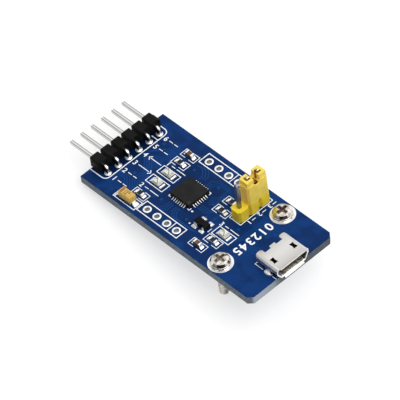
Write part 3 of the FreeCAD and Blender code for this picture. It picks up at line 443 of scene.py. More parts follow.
# Painted shade in the cross recess and along its wings, and a painted shadow in the gap under the head.
recess = (1 - screw.step(out, 1.15, 1.3)) * screw.step(head_top - 0.05 - height, 0.0, 0.1)
ragged = 0.32 + (dents - 0.5) * 0.6
wing = screw.larger(screw.near(across, 0.0, ragged, 0.1), screw.near(along, 0.0, ragged, 0.1))
wing_shade = wing * (1 - screw.step(out, 1.2, 1.6))
gap_shadow_height = BOARD_TOP + 0.3 + (dents - 0.5) * 0.7
gap_shadow = screw.step(out, 2.7, 2.9) * screw.near(height, gap_shadow_height, 0.1, 0.05)
head_shade = screw.larger(recess, screw.larger(wing_shade * 0.95, gap_shadow)) * on_head
print("the screw heads end", round(head_top, 2), "mm above the underside")

# %% Nickel under the painted shade
nickel = screw.mix(screw.step(dents, 0.4, 0.6), (0.56, 0.51, 0.45, 1), (0.9, 0.86, 0.81, 1))
back = screw.step(screw.part(1), -1.0, 1.0)
# Colours of the painted shade, browner on the back screw.
wing_shade_colour = screw.mix(back, (0.2, 0.175, 0.14, 1), (0.1, 0.073, 0.057, 1))
recess_shade_colour = screw.mix(back, (0.52, 0.48, 0.41, 1), (0.4, 0.33, 0.28, 1))
brown = screw.mix(recess, wing_shade_colour, recess_shade_colour)
SCREW_STEEL = screw.close(
    Base_Color=screw.mix(head_shade, nickel, screw.mix(gap_shadow, brown, (0.01, 0.01, 0.01, 1))),
    Metallic=1.0,
    Roughness=0.08 + dents * 0.1 + recess * 0.3,
    Normal=screw.bump(dents, 0.03),
)
dress(SCREW_STEEL, "screw_front", "screw_back")


# %% [markdown]
# ## Moulded plastics
#
# Every plastic part here came out of a steel mould with a fine spark-eroded skin. Base colour, dullness
# and the coarseness of the skin differ, and the recipe is the same, so one function makes them all. The
# recipe can also paint shade by place: deep openings in the cap are painted darker and redder than its skin,
# and the hollow behind the socket's tongue nearly black. Walls that face -Y can be painted a warmer, lighter
# yellow, as painted light on the cap's shaded side.

# %% A recipe for mouldings
def moulded(name, dark, light, dull, skin, depth, gloss=0.2, hole_shades=(), painted_glow=None):
    """A moulded plastic: two near shades, how dull it is, grains of skin to the millimetre, depth in mm.

    Hole shades are painted shade over deep openings: their middle, their half size along X and Y, and their
    colour.
    Painted glow is the colour painted on the walls towards -Y, as painted light on their shaded side.
    Warm is the colour of the walls towards -Y, where light comes through thin plastic.
    """
    plastic = Finish(name)
    pores = plastic.noise(skin, 4.0)
    cloud = plastic.noise(0.6, 2.0)
    colour = plastic.mix(plastic.step(cloud * 0.6 + pores * 0.4, 0.35, 0.65), dark, light)
    # Painted light: walls towards -Y are painted a warmer, lighter colour.
    if painted_glow:
        colour = plastic.mix(plastic.step(0 - plastic.slope(1), 0.5, 0.8), colour, painted_glow)
    # Painted shade over deep openings.
    for x, y, half_x, half_y, shade in hole_shades:
        opening = plastic.near(plastic.part(0), x, half_x) * plastic.near(plastic.part(1), y, half_y)
        colour = plastic.mix(opening, colour, shade)
    return plastic.close(
        Base_Color=colour,
        Roughness=dull + pores * 0.15,
        Specular_IOR_Level=gloss,
        Normal=plastic.bump(pores, depth),
    )


# %% Black, grey, tan and brown
BLACK = moulded(
    "black_moulding", (0.004, 0.004, 0.0045, 1), (0.0075, 0.0075, 0.0075, 1), 0.42, 7.0, 0.01, gloss=0.07,
)
CHIP_BLACK = moulded(
    "chip_moulding", (0.01, 0.01, 0.01, 1), (0.017, 0.017, 0.017, 1), 0.5, 9.0, 0.008, gloss=0.1,
)
TAN = moulded("tank_moulding", (0.54, 0.35, 0.08, 1), (0.66, 0.44, 0.115, 1), 0.45, 6.0, 0.008)
BROWN = moulded("brown_ceramic", (0.07, 0.037, 0.02, 1), (0.15, 0.085, 0.045, 1), 0.4, 6.0, 0.006)
# Painted shade in the hollow behind the socket's tongue.
SHADE_BEHIND_TONGUE = (7.2, 0.0, 1.95, 4.0, (0.01, 0.01, 0.01, 1))
GREY = moulded(
    "tongue_moulding", (0.16, 0.16, 0.155, 1), (0.26, 0.26, 0.25, 1), 0.4, 6.0, 0.008, hole_shades=[SHADE_BEHIND_TONGUE],
)
dress(BLACK, "header_body", "surge_body")
dress(GREY, "usb_tongue")
dress(CHIP_BLACK, "controller_body")
dress(TAN, "tank_capacitor_body")
dress(BROWN, "vcc_capacitor_body", "bus_capacitor_body")

# %% Yellow
JUMPER_X = -5.2
JUMPER_ROW = [2.26 + PITCH * number for number in range(3)]
YELLOW = moulded("yellow_moulding", (0.72, 0.535, 0.024, 1), (0.83, 0.625, 0.036, 1), 0.4, 5.0, 0.008)
# Painted shade in the cap's two windows, the slot towards its saddle, and its peephole.
CAP_HOLE_SHADES = (
    (JUMPER_X, JUMPER_ROW[1], 0.478, 0.478, (0.36, 0.24, 0.04, 1)),
    (JUMPER_X, JUMPER_ROW[2], 0.478, 0.478, (0.13, 0.06, 0.01, 1)),
    (JUMPER_X, 6.78, 0.26, 0.12, (0.2, 0.11, 0.02, 1)),
    (-5.0, 6.07, 0.72, 0.42, (0.05, 0.006, 0.002, 1)),
)
CAP_YELLOW = moulded(
    "cap_moulding", (0.74, 0.555, 0.08, 1), (0.86, 0.655, 0.11, 1), 0.4, 5.0, 0.008,
    hole_shades=CAP_HOLE_SHADES, painted_glow=(0.98, 0.66, 0.12, 1),
)
dress(YELLOW, "jumper_header_body")
dress(CAP_YELLOW, "jumper_cap")

# %% [markdown]
# ## Chip resistors and lamps
#
# A chip resistor is a white ceramic tile with black glaze on its top only. The glaze could be a thin piece
# of its own, but height above the board tells one shader which is which. A lamp is a white laminate tile
# under a block of cloudy resin. Real resin lets light in, but at this size it reads as pale greenish white,
# so it is a shiny pale plastic, and the die and its wire are marks on top.

# %% Resistor tile, lamp tile and lamp resin
tile = Finish("resistor_tile")
glaze = tile.step(tile.part(2), BOARD_TOP + 0.36, BOARD_TOP + 0.42)
speck = tile.noise(5.0, 3.0)
RESISTOR = tile.close(
    Base_Color=tile.mix(glaze, (0.7, 0.69, 0.66, 1), (0.012, 0.012, 0.014, 1)),
    Roughness=0.55 - glaze * 0.25 + speck * 0.1,
    Specular_IOR_Level=0.25,
    Normal=tile.bump(speck, 0.006),
)
resin = Finish("lamp_resin")
swirl = resin.noise(1.6, 2.0)
LAMP_RESIN = resin.close(
    Base_Color=resin.mix(resin.step(swirl, 0.35, 0.65), (0.6, 0.62, 0.54, 1), (0.72, 0.73, 0.66, 1)),
    Roughness=0.15 + swirl * 0.1,
    Coat_Weight=0.1,
    Normal=resin.bump(swirl, 0.004),
)
LAMP_TILE = speckled(
    "lamp_laminate", (0.66, 0.65, 0.58, 1), (0.82, 0.82, 0.76, 1), 6.0, 3.0, 0.5, 0.1, 0.004,
)
dress(RESISTOR, *ending("resistor_body", "resistor_back_body", "resistor_front_body"))
dress(LAMP_TILE, *ending("lamp_base"))
dress(LAMP_RESIN, *ending("lamp_lens"))


# %% [markdown]
# ## White ink
#
# The marks on the board are printed ink, one or two hundredths of a millimetre thick. A printing film is
# drawn with a round pen, so each straight mark has round ends and its corners are round too. Curves with a
# bevel could draw them. A low cylinder with half of its points moved along gives the same bar with far
# fewer faces, and two points say where it goes. The plain numbers are Blender's own text, turned into a
# mesh.

# %% Bars with round ends
PEN_SIDES = 12


def pen_bar(bm, start, end, width, height, base):
    """A bar with round ends from start to end, on the plane at base. All in millimetres.

    Two tops in one plane would flicker black where bars cross, so each bar is a micron off the last one.
    """
    bars_before = len(bm.verts) // (2 * PEN_SIDES)
    micron = 0.0008 * (bars_before % 7)
    height += micron if height >= 0 else -micron
    start, end = Vector((*start, 0)), Vector((*end, 0))
    along = (end - start).normalized() if (end - start).length > 1e-6 else Vector((1, 0, 0))
    turn = Matrix.Rotation(math.atan2(along.y, along.x) + math.pi / PEN_SIDES, 4, "Z")
    place = Matrix.Translation((start + Vector((0, 0, base + height / 2))) * MM) @ turn
    low, high = (width / 2, width * 0.43) if height > 0 else (width * 0.43, width / 2)
    made = bmesh.ops.create_cone(
        bm, cap_ends=True, segments=PEN_SIDES, radius1=low * MM, radius2=high * MM,
        depth=abs(height) * MM, matrix=place,
    )
    ahead = [v for v in made["verts"] if (v.co / MM - start).dot(along) > 0]
    bmesh.ops.translate(bm, verts=ahead, vec=(end - start) * MM)


def draw(bm, points, width, height, base):
    """Bars from each point to the next."""
    for start, end in zip(points, points[1:]):
        pen_bar(bm, start, end, width, height, base)


def dot(bm, x, y, width, height, base):
    """A round spot."""
    pen_bar(bm, (x, y), (x + 0.01, y), width, height, base)


def box_line(x0, x1, y0, y1):
    """The five points of a closed rectangle."""
    return [(x0, y0), (x1, y0), (x1, y1), (x0, y1), (x0, y0)]


def corner(x, y, radius, steps=4):
    """Points of the first quarter of a circle round x, y."""
    angles = [math.radians(90 * step / steps) for step in range(steps + 1)]
    return [(x + radius * math.cos(a), y + radius * math.sin(a)) for a in angles]


# %% Letters as thin solids
LETTER_HEIGHT = 0.73  # a digit's height as a share of Blender's text size


def write(bm, words, x, y, size, turn=0.0, base=BOARD_TOP, height=0.02, weight=0.0, wide=1.0):
    """Plain numbers as thin solid letters, from their lower left corner."""
    font = bpy.data.curves.new("mark", "FONT")
    font.body = words
    font.size = size * MM / LETTER_HEIGHT
    font.extrude = height / 2 * MM
    font.offset = weight * MM
    font.space_character = wide
    font.resolution_u = 3
    holder = bpy.data.objects.new("mark", font)
    bpy.context.scene.collection.objects.link(holder)
    bpy.context.view_layer.update()
    mesh = bpy.data.meshes.new_from_object(holder.evaluated_get(bpy.context.evaluated_depsgraph_get()))
    corner_at = Matrix.Translation(Vector((x, y, base + height / 2)) * MM)
    mesh.transform(corner_at @ Matrix.Rotation(math.radians(turn), 4, "Z"))
    before = set(bm.verts)
    bm.from_mesh(mesh)
    bmesh.ops.remove_doubles(bm, verts=[v for v in bm.verts if v not in before], dist=1e-7)
    bpy.data.objects.remove(holder)
    bpy.data.curves.remove(font)
    bpy.data.meshes.remove(mesh)


# %% From a bmesh to a piece
def mark_sharp(bm, angle):
    """Keeps edges hard where two faces meet at more than angle degrees."""
    for edge in bm.edges:
        if len(edge.link_faces) == 2 and edge.calc_face_angle(0) > math.radians(angle):
            edge.smooth = False


def piece(name, bm, material, slot=None, *stands_for, smooth=False):
    """Makes an object of a bmesh, in place on the board. It may stand for nodes. The slot is not used."""
    mesh = bpy.data.meshes.new(name)
    if smooth:
        for face in bm.faces:
            face.smooth = True
        mark_sharp(bm, 40)
    bm.to_mesh(mesh)
    bm.free()
    mesh.materials.append(material)
    made = bpy.data.objects.new(name, mesh)
    bpy.context.scene.collection.objects.link(made)
    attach(made, "root")
    if stands_for:
        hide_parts(*stands_for)
    print(name, len(mesh.polygons), "faces")
    return made


# %% [markdown]
# ### Where the marks are
#
# Boxes stand round the two rows of holes, a rounded outline round the header, and brackets round the small
# parts. Plain numbers, dashes and arrows stand beside them, and the numbers count pins and lamps. All of
# it could be many objects, but one mesh makes it one piece that can be changed or left off at once.

# %% Outlines of the header and the hole rows
WHITE_INK = speckled(
    "white_ink", (0.8, 0.84, 0.87, 1), (0.9, 0.93, 0.95, 1), 4.0, 3.0, 0.5, 0.2, 0.004,
)
LINE = 0.17
INK = 0.02
marks = bmesh.new()


def ink(points, width=LINE):
    """A line of ink on the board."""
    draw(marks, points, width, INK, BOARD_TOP)


for low, high in ((-8.86, -6.26), (6.44, 9.04)):
    ink(box_line(-20.5, -10.15, low, high), 0.2)
    ink([(-12.75, low), (-12.75, high)])
header_turn = corner(-30.9, 6.75, 1.05)
outline = [(-34.0, 7.8)] + header_turn[::-1] + [(x, -y) for x, y in header_turn] + [(-34.0, -7.8)]
ink(outline, 0.22)
ink([(-31.5, 5.1), (-29.85, 5.1)])
print(len(marks.faces), "faces of ink for the outlines")

# %% Boxes round the lamps and brackets round the chips
LAMP_BOXES = (
    (-24.45, -20.15, -0.26, 1.64),
    (-24.45, -20.15, -3.06, -1.06),
    (-6.35, -2.05, -3.86, -1.76),
)
for box in LAMP_BOXES:
    ink(box_line(*box))
CHIP_BOXES = (
    (-24.35, -20.95, 5.44, 7.14),
    (-24.35, -20.95, 3.04, 4.74),
    (-24.35, -20.95, -6.81, -5.11),
    (-10.35, -6.95, 2.59, 4.29),
    (-10.35, -6.95, 0.04, 1.74),
    (-6.4, -2.95, -5.86, -4.16),
    (-7.8, -4.3, -8.26, -6.56),
)
HALF_GAP = 0.45
for x0, x1, y0, y1 in CHIP_BOXES:
    middle = (x0 + x1) / 2
    for end, gap_end in ((x0, middle - HALF_GAP), (x1, middle + HALF_GAP)):
        ink([(gap_end, y0), (end, y0), (end, y1), (gap_end, y1)], 0.14)
ink(box_line(-26.2, -20.75, -9.35, -7.2))
ink([(-25.9, -9.1), (-25.9, -7.45)], 0.3)
print(len(marks.faces), "with the boxes and brackets")

# %% Corners of the big chip, dots, and lines by the jumper and the socket
CORNER_OUT, CORNER_ARM = 2.68, 0.45
for side in (-1, 1):
    for up in (-1, 1):
        x, y = CHIP_X + side * CORNER_OUT, CHIP_Y + up * CORNER_OUT
        ink([(x - side * CORNER_ARM, y), (x, y), (x, y - up * CORNER_ARM)], 0.19)
dot(marks, -12.64, -2.61, 0.42, INK, BOARD_TOP)
dot(marks, -10.95, -4.86, 0.34, INK, BOARD_TOP)
ink([(-7.0, -4.1), (-7.0, -3.2)])
ink(box_line(-6.62, -3.78, 0.84, 8.76))
for side in (-1, 1):
    ink([(4.75, side * 3.2), (4.75, side * 3.75), (6.7, side * 3.75)], 0.15)
    ink([(9.15, side * 3.75), (10.1, side * 3.75)], 0.15)
print(len(marks.faces), "faces of ink before the numbers")

# %% Numbers, dashes and arrows
for number, y in enumerate(HEADER_ROW, 1):
    write(marks, str(number), -29.35, y - 0.55, 1.1, weight=0.02)
    if number == 3:
        ink([(-28.1, y), (-25.5, y)])
        ink([(-25.4, y + 0.45), (-24.95, y), (-25.4, y - 0.45)])
    elif number == 4:
        ink([(-27.6, y), (-25.0, y)])
        ink([(-27.6, y + 0.45), (-28.05, y), (-27.6, y - 0.45)])
    else:
        ink([(-28.1, y), (-27.3, y)])
        ink([(-26.8, y), (-26.0, y)])
for number, x, y in ((1, -24.5, 1.94), (2, -24.5, -4.66), (3, -6.8, -1.6)):
    write(marks, str(number), x, y, 1.0, weight=0.02)
    ink([(x + 1.2, y + 0.5), (x + 2.0, y + 0.5)])
    ink([(x + 2.5, y + 0.5), (x + 4.6, y + 0.5)])
for number, y in enumerate((2.7, 5.24, 7.78), 1):
    write(marks, str(number), -3.55, y, 1.0, turn=-90, weight=0.02)
    ink([(-3.05, y + 0.35), (-3.05, y + 1.1)])
for number in range(6):
    write(marks, str(5 - number), -0.55, -3.2 + 1.55 * number, 1.85, turn=-90, weight=0.045)
piece("printed_marks", marks, WHITE_INK)

# %% [markdown]
# ## Copper lines under the mask
#
# Copper runs under the mask as low ridges, a little lighter than the blue round them. A bump in the mask's
# shader could show them, but bars have clean edges from near and far. They are the same round-ended bars
# as the ink, lower and in a lighter blue. A bundle is one bent line that is drawn again a step further
# each time.

# %% A helper for runs of copper
LINE_BLUE = speckled(
    "mask_over_copper", (0.003, 0.04, 0.168, 1), (0.0045, 0.048, 0.19, 1), 1.2, 2.0, 0.3, 0.06, 0.006,
    Specular_IOR_Level=0.07,
)
COPPER = 0.012
copper = bmesh.new()


def bundle(points, count=1, step=(0, 0), width=0.2, side=1):
    """The same bent line count times, each moved by step. Side -1 draws it under the board."""
    base = BOARD_TOP if side > 0 else 0.0
    for turn in range(count):
        moved = [(x + step[0] * turn, y + step[1] * turn) for x, y in points]
        draw(copper, moved, width, COPPER * side, base)


# %% Runs above and below
bundle([(-19.3, -1.6), (-20.1, -2.4), (-20.1, -4.6), (-21.3, -5.8)])
bundle([(-24.9, -5.9), (-26.4, -4.4), (-26.4, -1.6), (-29.2, 1.2)], 4, (0.5, 0.12))
bundle([(-25.3, 3.9), (-27.4, 3.9), (-29.3, 2.0)], 3, (0.25, 0.5))
bundle([(-29.6, -5.2), (-27.6, -5.2), (-25.6, -7.2)], 3, (0.2, 0.45))
bundle([(-17.4, 3.5), (-17.4, 4.4), (-18.6, 5.6), (-19.9, 5.6)], 3, (0.5, 0.25))
bundle([(-15.2, 3.4), (-15.2, 4.6), (-14.2, 5.6), (-11.2, 5.6)], 3, (0.5, -0.35))
bundle([(-12.4, 1.8), (-11.4, 2.8), (-11.4, 5.2)], 4, (0.25, -0.45))
bundle([(-12.5, -1.4), (-10.6, -1.4), (-9.4, -0.2), (-8.1, -0.2)], 3, (0.1, 0.48))
bundle([(-14.6, -3.6), (-14.6, -4.6), (-13.6, -5.6), (-8.4, -5.6)], 3, (-0.45, -0.12))
bundle([(-17.3, -3.6), (-17.3, -5.2), (-18.0, -5.9)], 3, (0.5, -0.1))
bundle([(-8.2, -2.2), (-8.2, 0.0), (-6.9, -0.3)])
bundle([(-4.4, -4.0), (-1.6, -1.2), (-1.6, 4.4), (-2.4, 5.2)], 3, (0.45, 0.0))
bundle([(-1.0, -5.4), (2.2, -2.2), (4.4, -2.2)], 3, (0.1, 0.7))
COVERED_HOLES = (
    (-27.2, -3.1), (-24.6, 2.9), (-19.6, 4.5), (-18.9, -4.3), (-13.1, 4.3), (-11.0, 1.0), (-9.8, -1.9),
    (-8.3, -1.2), (-3.3, -0.1), (-1.3, -6.2), (2.5, 3.3), (-28.4, 5.2), (-12.0, -4.6), (-24.6, -3.9),
)
for x, y in COVERED_HOLES:
    dot(copper, x, y, 0.6, COPPER, BOARD_TOP)
UNDER_RUNS = (
    [(-29.5, -6.35), (-26.0, -6.35), (-23.0, -3.35), (-12.0, -3.35), (-9.0, -0.35), (4.0, -0.35)],
    [(-29.5, 6.35), (-25.0, 6.35), (-21.0, 2.35), (-11.0, 2.35), (-7.0, 5.0)],
)
for points in UNDER_RUNS:
    bundle(points, 4, (0.35, -0.75), 0.25, side=-1)
piece("copper_lines", copper, LINE_BLUE, "board")


# %% [markdown]
# ## Turned shapes
#
# Plated holes and solder joints are round, so each is one profile spun about its own axis. The profile is a
# row of points, from bottom to top, that the joint really has: a foot that wets the ring, a hollow slope and
# a neck round the pin.

# %% Spin a profile
def spun(bm, x, y, base, profile, steps=32, up=1):
    """Spins points of radius and height, in millimetres, about an upright axis at x, y."""
    points = [bm.verts.new(Vector((x + r, y, base + up * z)) * MM) for r, z in profile]
    edges = [bm.edges.new(pair) for pair in zip(points, points[1:])]
    bmesh.ops.spin(
        bm, geom=points + edges, cent=Vector((x, y, 0)) * MM, axis=(0, 0, 1), angle=math.tau, steps=steps,
        use_merge=True,
    )


def tidy(bm):
    """Joins doubled points and turns every face outwards."""
    bmesh.ops.remove_doubles(bm, verts=bm.verts, dist=1e-7)
    bmesh.ops.dissolve_degenerate(bm, edges=bm.edges, dist=1e-8)
    bmesh.ops.recalc_face_normals(bm, faces=bm.faces)


# %% Plated holes
HOLE_ROW = [-19.03 + PITCH * number for number in range(4)]
BARREL = [
    (0.5, -0.02), (0.53, -0.05), (0.79, -0.05), (0.82, -0.03), (0.82, 0.0), (0.56, 0.01), (0.56, 1.59),
    (0.82, 1.6), (0.82, 1.63), (0.79, 1.65), (0.53, 1.65), (0.5, 1.62), (0.5, -0.02),
]
for side, y in SIDES:
    rings = bmesh.new()
    for x in HOLE_ROW:
        spun(rings, x, y, 0.0, BARREL)
    tidy(rings)
    piece(f"plated_holes_{side}", rings, TIN, "tin", f"hole_plating_{side}", smooth=True)

# %% Solder joints of the two headers
HEADER_X = -30.8
TOP_JOINT = [
    (0.0, 0.0), (0.68, 0.0), (0.66, 0.05), (0.57, 0.1), (0.49, 0.15), (0.43, 0.21), (0.4, 0.28),
    (0.3, 0.31), (0.0, 0.31),
]
LOW_JOINT = [
    (0.0, 0.0), (0.84, 0.0), (0.82, 0.08), (0.68, 0.22), (0.56, 0.42), (0.49, 0.66), (0.45, 0.88),
    (0.3, 0.9), (0.0, 0.9),
]
joints = bmesh.new()
for y in HEADER_ROW:
    spun(joints, HEADER_X, y, BOARD_TOP, TOP_JOINT)
    spun(joints, HEADER_X, y, 0.0, LOW_JOINT, up=-1)
tidy(joints)
piece("header_joints", joints, TIN, "solder", "header_solder", smooth=True)
joints = bmesh.new()
for y in JUMPER_ROW:
    spun(joints, JUMPER_X, y, 0.0, LOW_JOINT, up=-1)
tidy(joints)
piece("jumper_joints", joints, SOLDER, "solder", "jumper_header_solder", smooth=True)

# %% [markdown]
# ### Solder at the socket's legs
#
# On top, solder stands round each leg as a long soft bead. A spun profile can only be round, so the bead is
# a ball that is squashed and cut at the board. Below, the leg's slot is filled flush, which is a
# round-ended bar through the board.

# %% Beads and filled slots
def keep_above(bm, height):
    """Cuts a mesh off below a height in millimetres, and closes the cut."""
    whole = bm.verts[:] + bm.edges[:] + bm.faces[:]
    level = Vector((0, 0, height)) * MM
    bmesh.ops.bisect_plane(bm, geom=whole, plane_co=level, plane_no=(0, 0, 1), clear_inner=True)
    bmesh.ops.holes_fill(bm, edges=[e for e in bm.edges if e.is_boundary])


beads = bmesh.new()
for y in (-3.72, 3.72):
    squash = Matrix.Translation(Vector((7.95, y, BOARD_TOP)) * MM) @ Matrix.Diagonal((0.86, 0.5, 0.42, 1))
    bmesh.ops.create_icosphere(beads, subdivisions=4, radius=MM, matrix=squash)
keep_above(beads, BOARD_TOP)
for y in (-3.625, 3.625):
    pen_bar(beads, (7.5, y), (8.6, y), 0.7, BOARD_TOP, 0.0)
piece("socket_beads", beads, TIN, "solder", "usb_solder", smooth=True)


# %% [markdown]
# ## Softer edges
#
# No moulded or folded edge is knife sharp, and the thin bright line along a rounded edge is what makes a
# small part look real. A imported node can't be changed, so a copy is made: its loose triangles are merged,
# flat faces are joined again, and the sharp edges get a small bevel.

# %% Helpers for copies with soft edges
def copy_of(node):
    """A node's mesh as a bmesh, with its loose triangles merged."""
    bm = bmesh.new()
    bm.from_mesh(nodes[node].data)
    bmesh.ops.remove_doubles(bm, verts=bm.verts, dist=2e-6)
    return bm


def join_flats(bm):
    """Joins faces that lie in one plane."""
    bmesh.ops.dissolve_limit(bm, angle_limit=math.radians(1.0), verts=bm.verts, edges=bm.edges)


def bevelled(bm, edges, width):
    """Rounds edges by width millimetres, and gives the new faces."""
    return bmesh.ops.bevel(
        bm, geom=edges, offset=width * MM, offset_type="OFFSET", segments=2, profile=0.5, affect="EDGES",
        material=-1, clamp_overlap=True,
    )["faces"]


def widen(bm, x, y, half_x, half_y, scale_x, scale_y, above=3.7):
    """Draws an opening out about its middle at x, y. Only points within the half size move."""
    rim = [
        v for v in bm.verts
        if abs(v.co.x / MM - x) < half_x and abs(v.co.y / MM - y) < half_y and v.co.z > above * MM
    ]
    centre = Matrix.Translation(Vector((-x, -y, 0)) * MM)
    bmesh.ops.scale(bm, verts=rim, vec=(scale_x, scale_y, 1), space=centre)


def softened(name, node, material, slot, edge, sharp=35.0, wider=()):
    """A copy of a node whose sharp edges are rounded by edge millimetres, and some openings widened."""
    bm = copy_of(node)
    for opening in wider:
        widen(bm, *opening)
    join_flats(bm)
    for face in bm.faces:
        bends = [e.calc_face_angle(0) for e in face.edges if len(e.link_faces) == 2]
        face.smooth = any(math.radians(2) < bend < math.radians(sharp) for bend in bends)
    hard = [e for e in bm.edges if len(e.link_faces) == 2 and e.calc_face_angle(0) > math.radians(sharp)]
    for face in bevelled(bm, hard, edge):
        face.smooth = True
    mark_sharp(bm, sharp)
    return piece(name, bm, material, slot, node)


# %% Copies of the moulded parts
softened("header_block", "header_body", BLACK, "black_moulding", 0.05)
softened("jumper_block", "jumper_header_body", YELLOW, "yellow_moulding", 0.05)
softened("jumper_top", "jumper_cap", CAP_YELLOW, "yellow_moulding", 0.05)
softened("controller_case", "controller_body", CHIP_BLACK, "chip_moulding", 0.05)
softened("surge_case", "surge_body", BLACK, "chip_moulding", 0.05)
softened("tank_case", "tank_capacitor_body", TAN, "tank_moulding", 0.06)

# %% [markdown]
# The shell's two latch windows come out of their punch with drawn edges, a little larger than their plain
# outline and fuller at the waist. So their rims are scaled about each window's middle before the bevel:
# first the whole rim, then the waist alone.

# %% Copies of the shell and the lamps
LAMPS = ("transmit_lamp", "receive_lamp", "power_lamp")
RIM = (0.7, 0.45, 1.05, 1.25)
WAIST = (0.25, 0.3, 1.0, 1.75)
LATCHES = [(LATCH_X, side * LATCH_Y, *part) for part in (RIM, WAIST) for side in (-1, 1)]
softened("socket_shell", "usb_shell", SHELL_STEEL, "shell_steel", 0.02, wider=LATCHES)
for lamp in LAMPS:
    softened(f"{lamp}_resin", f"{lamp}_lens", LAMP_RESIN, "lamp_lens", 0.06)

# %% [markdown]
# ## Screws
#
# A machine screw is turned and then its thread is rolled. A bump could stand for the thread, but real ribs
# show on the outline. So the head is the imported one, shaded smoothly where its slopes meet gently, and the
# shank is made new: a core, and round it a small rib with a narrow flat crest, which is spun while it sinks
# by one pitch a turn.

# %% Heads and threads
THREAD_PITCH = 0.4
TURN_STEPS = 28
HEAD_CUT = 0.4
CORE_RADIUS, CORE_TOP = 0.78, 0.5
TIP_RADIUS, TIP_HEIGHT = 0.55, 0.35
ROOT_RADIUS, CREST_RADIUS = 0.7, 0.985
RIB_TOP = 0.45
RIB_END = 0.45  # above the tip
RIB = ((ROOT_RADIUS, 0.0), (CREST_RADIUS, -0.17), (CREST_RADIUS, -0.23), (ROOT_RADIUS, -0.4))
for side, y in SIDES:
    bm = copy_of(f"screw_{side}")
    keep_above(bm, HEAD_CUT)
    join_flats(bm)
    for face in bm.faces:
        face.smooth = True
    mark_sharp(bm, 28)
    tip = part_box(f"screw_{side}")[0].z / MM
    turned_down = [(CORE_RADIUS, tip + TIP_HEIGHT), (TIP_RADIUS, tip), (0.0, tip)]
    spun(bm, 0.0, y, 0.0, [(0.0, CORE_TOP), (CORE_RADIUS, CORE_TOP)] + turned_down)
    foot = Vector((0.0, y, RIB_TOP))
    rib = [bm.verts.new((foot + Vector((r, 0, z))) * MM) for r, z in RIB]
    start = bm.faces.new(rib)
    turns = int((RIB_TOP - tip - RIB_END) / THREAD_PITCH)
    bmesh.ops.spin(
        bm, geom=[start] + list(start.edges) + rib, cent=foot * MM, axis=(0, 0, 1), angle=math.tau * turns,
        steps=TURN_STEPS * turns, dvec=(0, 0, -THREAD_PITCH / TURN_STEPS * MM), use_merge=False,
    )
    tidy(bm)
    piece(f"machine_screw_{side}", bm, SCREW_STEEL, "screw_steel", f"screw_{side}")

# %% [markdown]
# ## The tan capacitor
#
# A laser burns a band and a plain value into the top, at the plus end. A mask in the shader could draw the
# band but not the digits, so both are thin brown shapes on the moulding. A folded strip comes out of each
# end and stands in a wedge of solder that thins outwards: a block whose far upper edge is pushed down, with
# soft edges.

# %% Burnt band and value
BURNT = speckled("burnt_mark", (0.2, 0.085, 0.015, 1), (0.32, 0.15, 0.03, 1), 5.0, 3.0, 0.5, 0.2, 0.004)
tank_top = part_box("tank_capacitor_body")[1].z / MM
band = bmesh.new()
draw(band, [(-24.55, -8.68), (-24.55, -7.84)], 0.5, 0.012, tank_top)
for words, y in (("106", -8.22), ("16", -8.84)):
    write(band, words, -24.05, y, 0.56, base=tank_top, height=0.012, weight=0.03, wide=1.15)
piece("tank_band", band, BURNT, "tank_moulding")

# %% Its two feet
TANK_Y = -8.26


def block(bm, x, z, size):
    """A box at x and z on the capacitor's middle line."""
    place = Matrix.Translation(Vector((x, TANK_Y, z)) * MM) @ Matrix.Diagonal((*size, 1))
    return bmesh.ops.create_cube(bm, size=MM, matrix=place)["verts"]


for end, x, out, stands_for in (("plus", -25.05, -1, ["tank_capacitor_ends"]), ("minus", -21.85, 1, [])):
    pad = bmesh.new()
    wedge = block(pad, x + out * 0.52, BOARD_TOP + 0.12, (0.74, 1.1, 0.24))
    far = [v for v in wedge if v.co.z > (BOARD_TOP + 0.2) * MM and (v.co.x / MM - x) * out > 0.5]
    bmesh.ops.translate(pad, verts=far, vec=(0, 0, -0.16 * MM))
    bevelled(pad, pad.edges[:], 0.06)
    block(pad, x + out * 0.03, BOARD_TOP + 0.36, (0.12, 0.8, 0.56))
    piece(f"tank_foot_{end}", pad, TIN, "solder", *stands_for, smooth=True)

# %% [markdown]
# ## Small marks on the other parts
#
# A lamp shows its die and a bent wire through its resin, and a moulded chip has a dimple beside its first
# pin. At this size a thin shape on the surface gives the same picture as a body inside, and it needs no
# see-through material.

# %% Lamp insides and the chip's dimple
DIE = speckled("die_and_wire", (0.13, 0.12, 0.06, 1), (0.24, 0.23, 0.13, 1), 6.0, 2.0, 0.3, 0.2, 0.004)
WIRE = [(-0.54, 0.44), (-0.28, 0.36), (-0.02, 0.2), (0.16, 0.0), (0.3, -0.2), (0.4, -0.36), (0.52, -0.46)]
FILM = 0.008
for lamp in LAMPS:
    low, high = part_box(f"{lamp}_lens")
    x, y, top = (low.x + high.x) / 2 / MM, (low.y + high.y) / 2 / MM, high.z / MM
    insides = bmesh.new()
    draw(insides, [(x + right, y + up) for right, up in WIRE], 0.18, FILM, top)
    pen_bar(insides, (x - 0.5, y + 0.16), (x - 0.3, y + 0.14), 0.16, FILM, top)
    piece(f"{lamp}_die", insides, DIE, "lamp_lens")
ETCHED = speckled(
    "etched_black", (0.011, 0.011, 0.011, 1), (0.019, 0.019, 0.019, 1), 8.0, 3.0, 0.6, 0.2, 0.004,
)
dimple = bmesh.new()
dot(dimple, -13.98, -2.02, 0.5, FILM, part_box("controller_body")[1].z / MM)
piece("controller_dot", dimple, ETCHED, "chip_moulding")

# %% [markdown]
# ## Floor
#
# The adapter stands on its screw tips and on the tails of its header, so the floor is a plane through
# those points and leans a little against the board. A white floor under one lamp turns grey away from it.
# More lamps would even it out but add shadows, so the floor glows a little, as paper lit from below does.

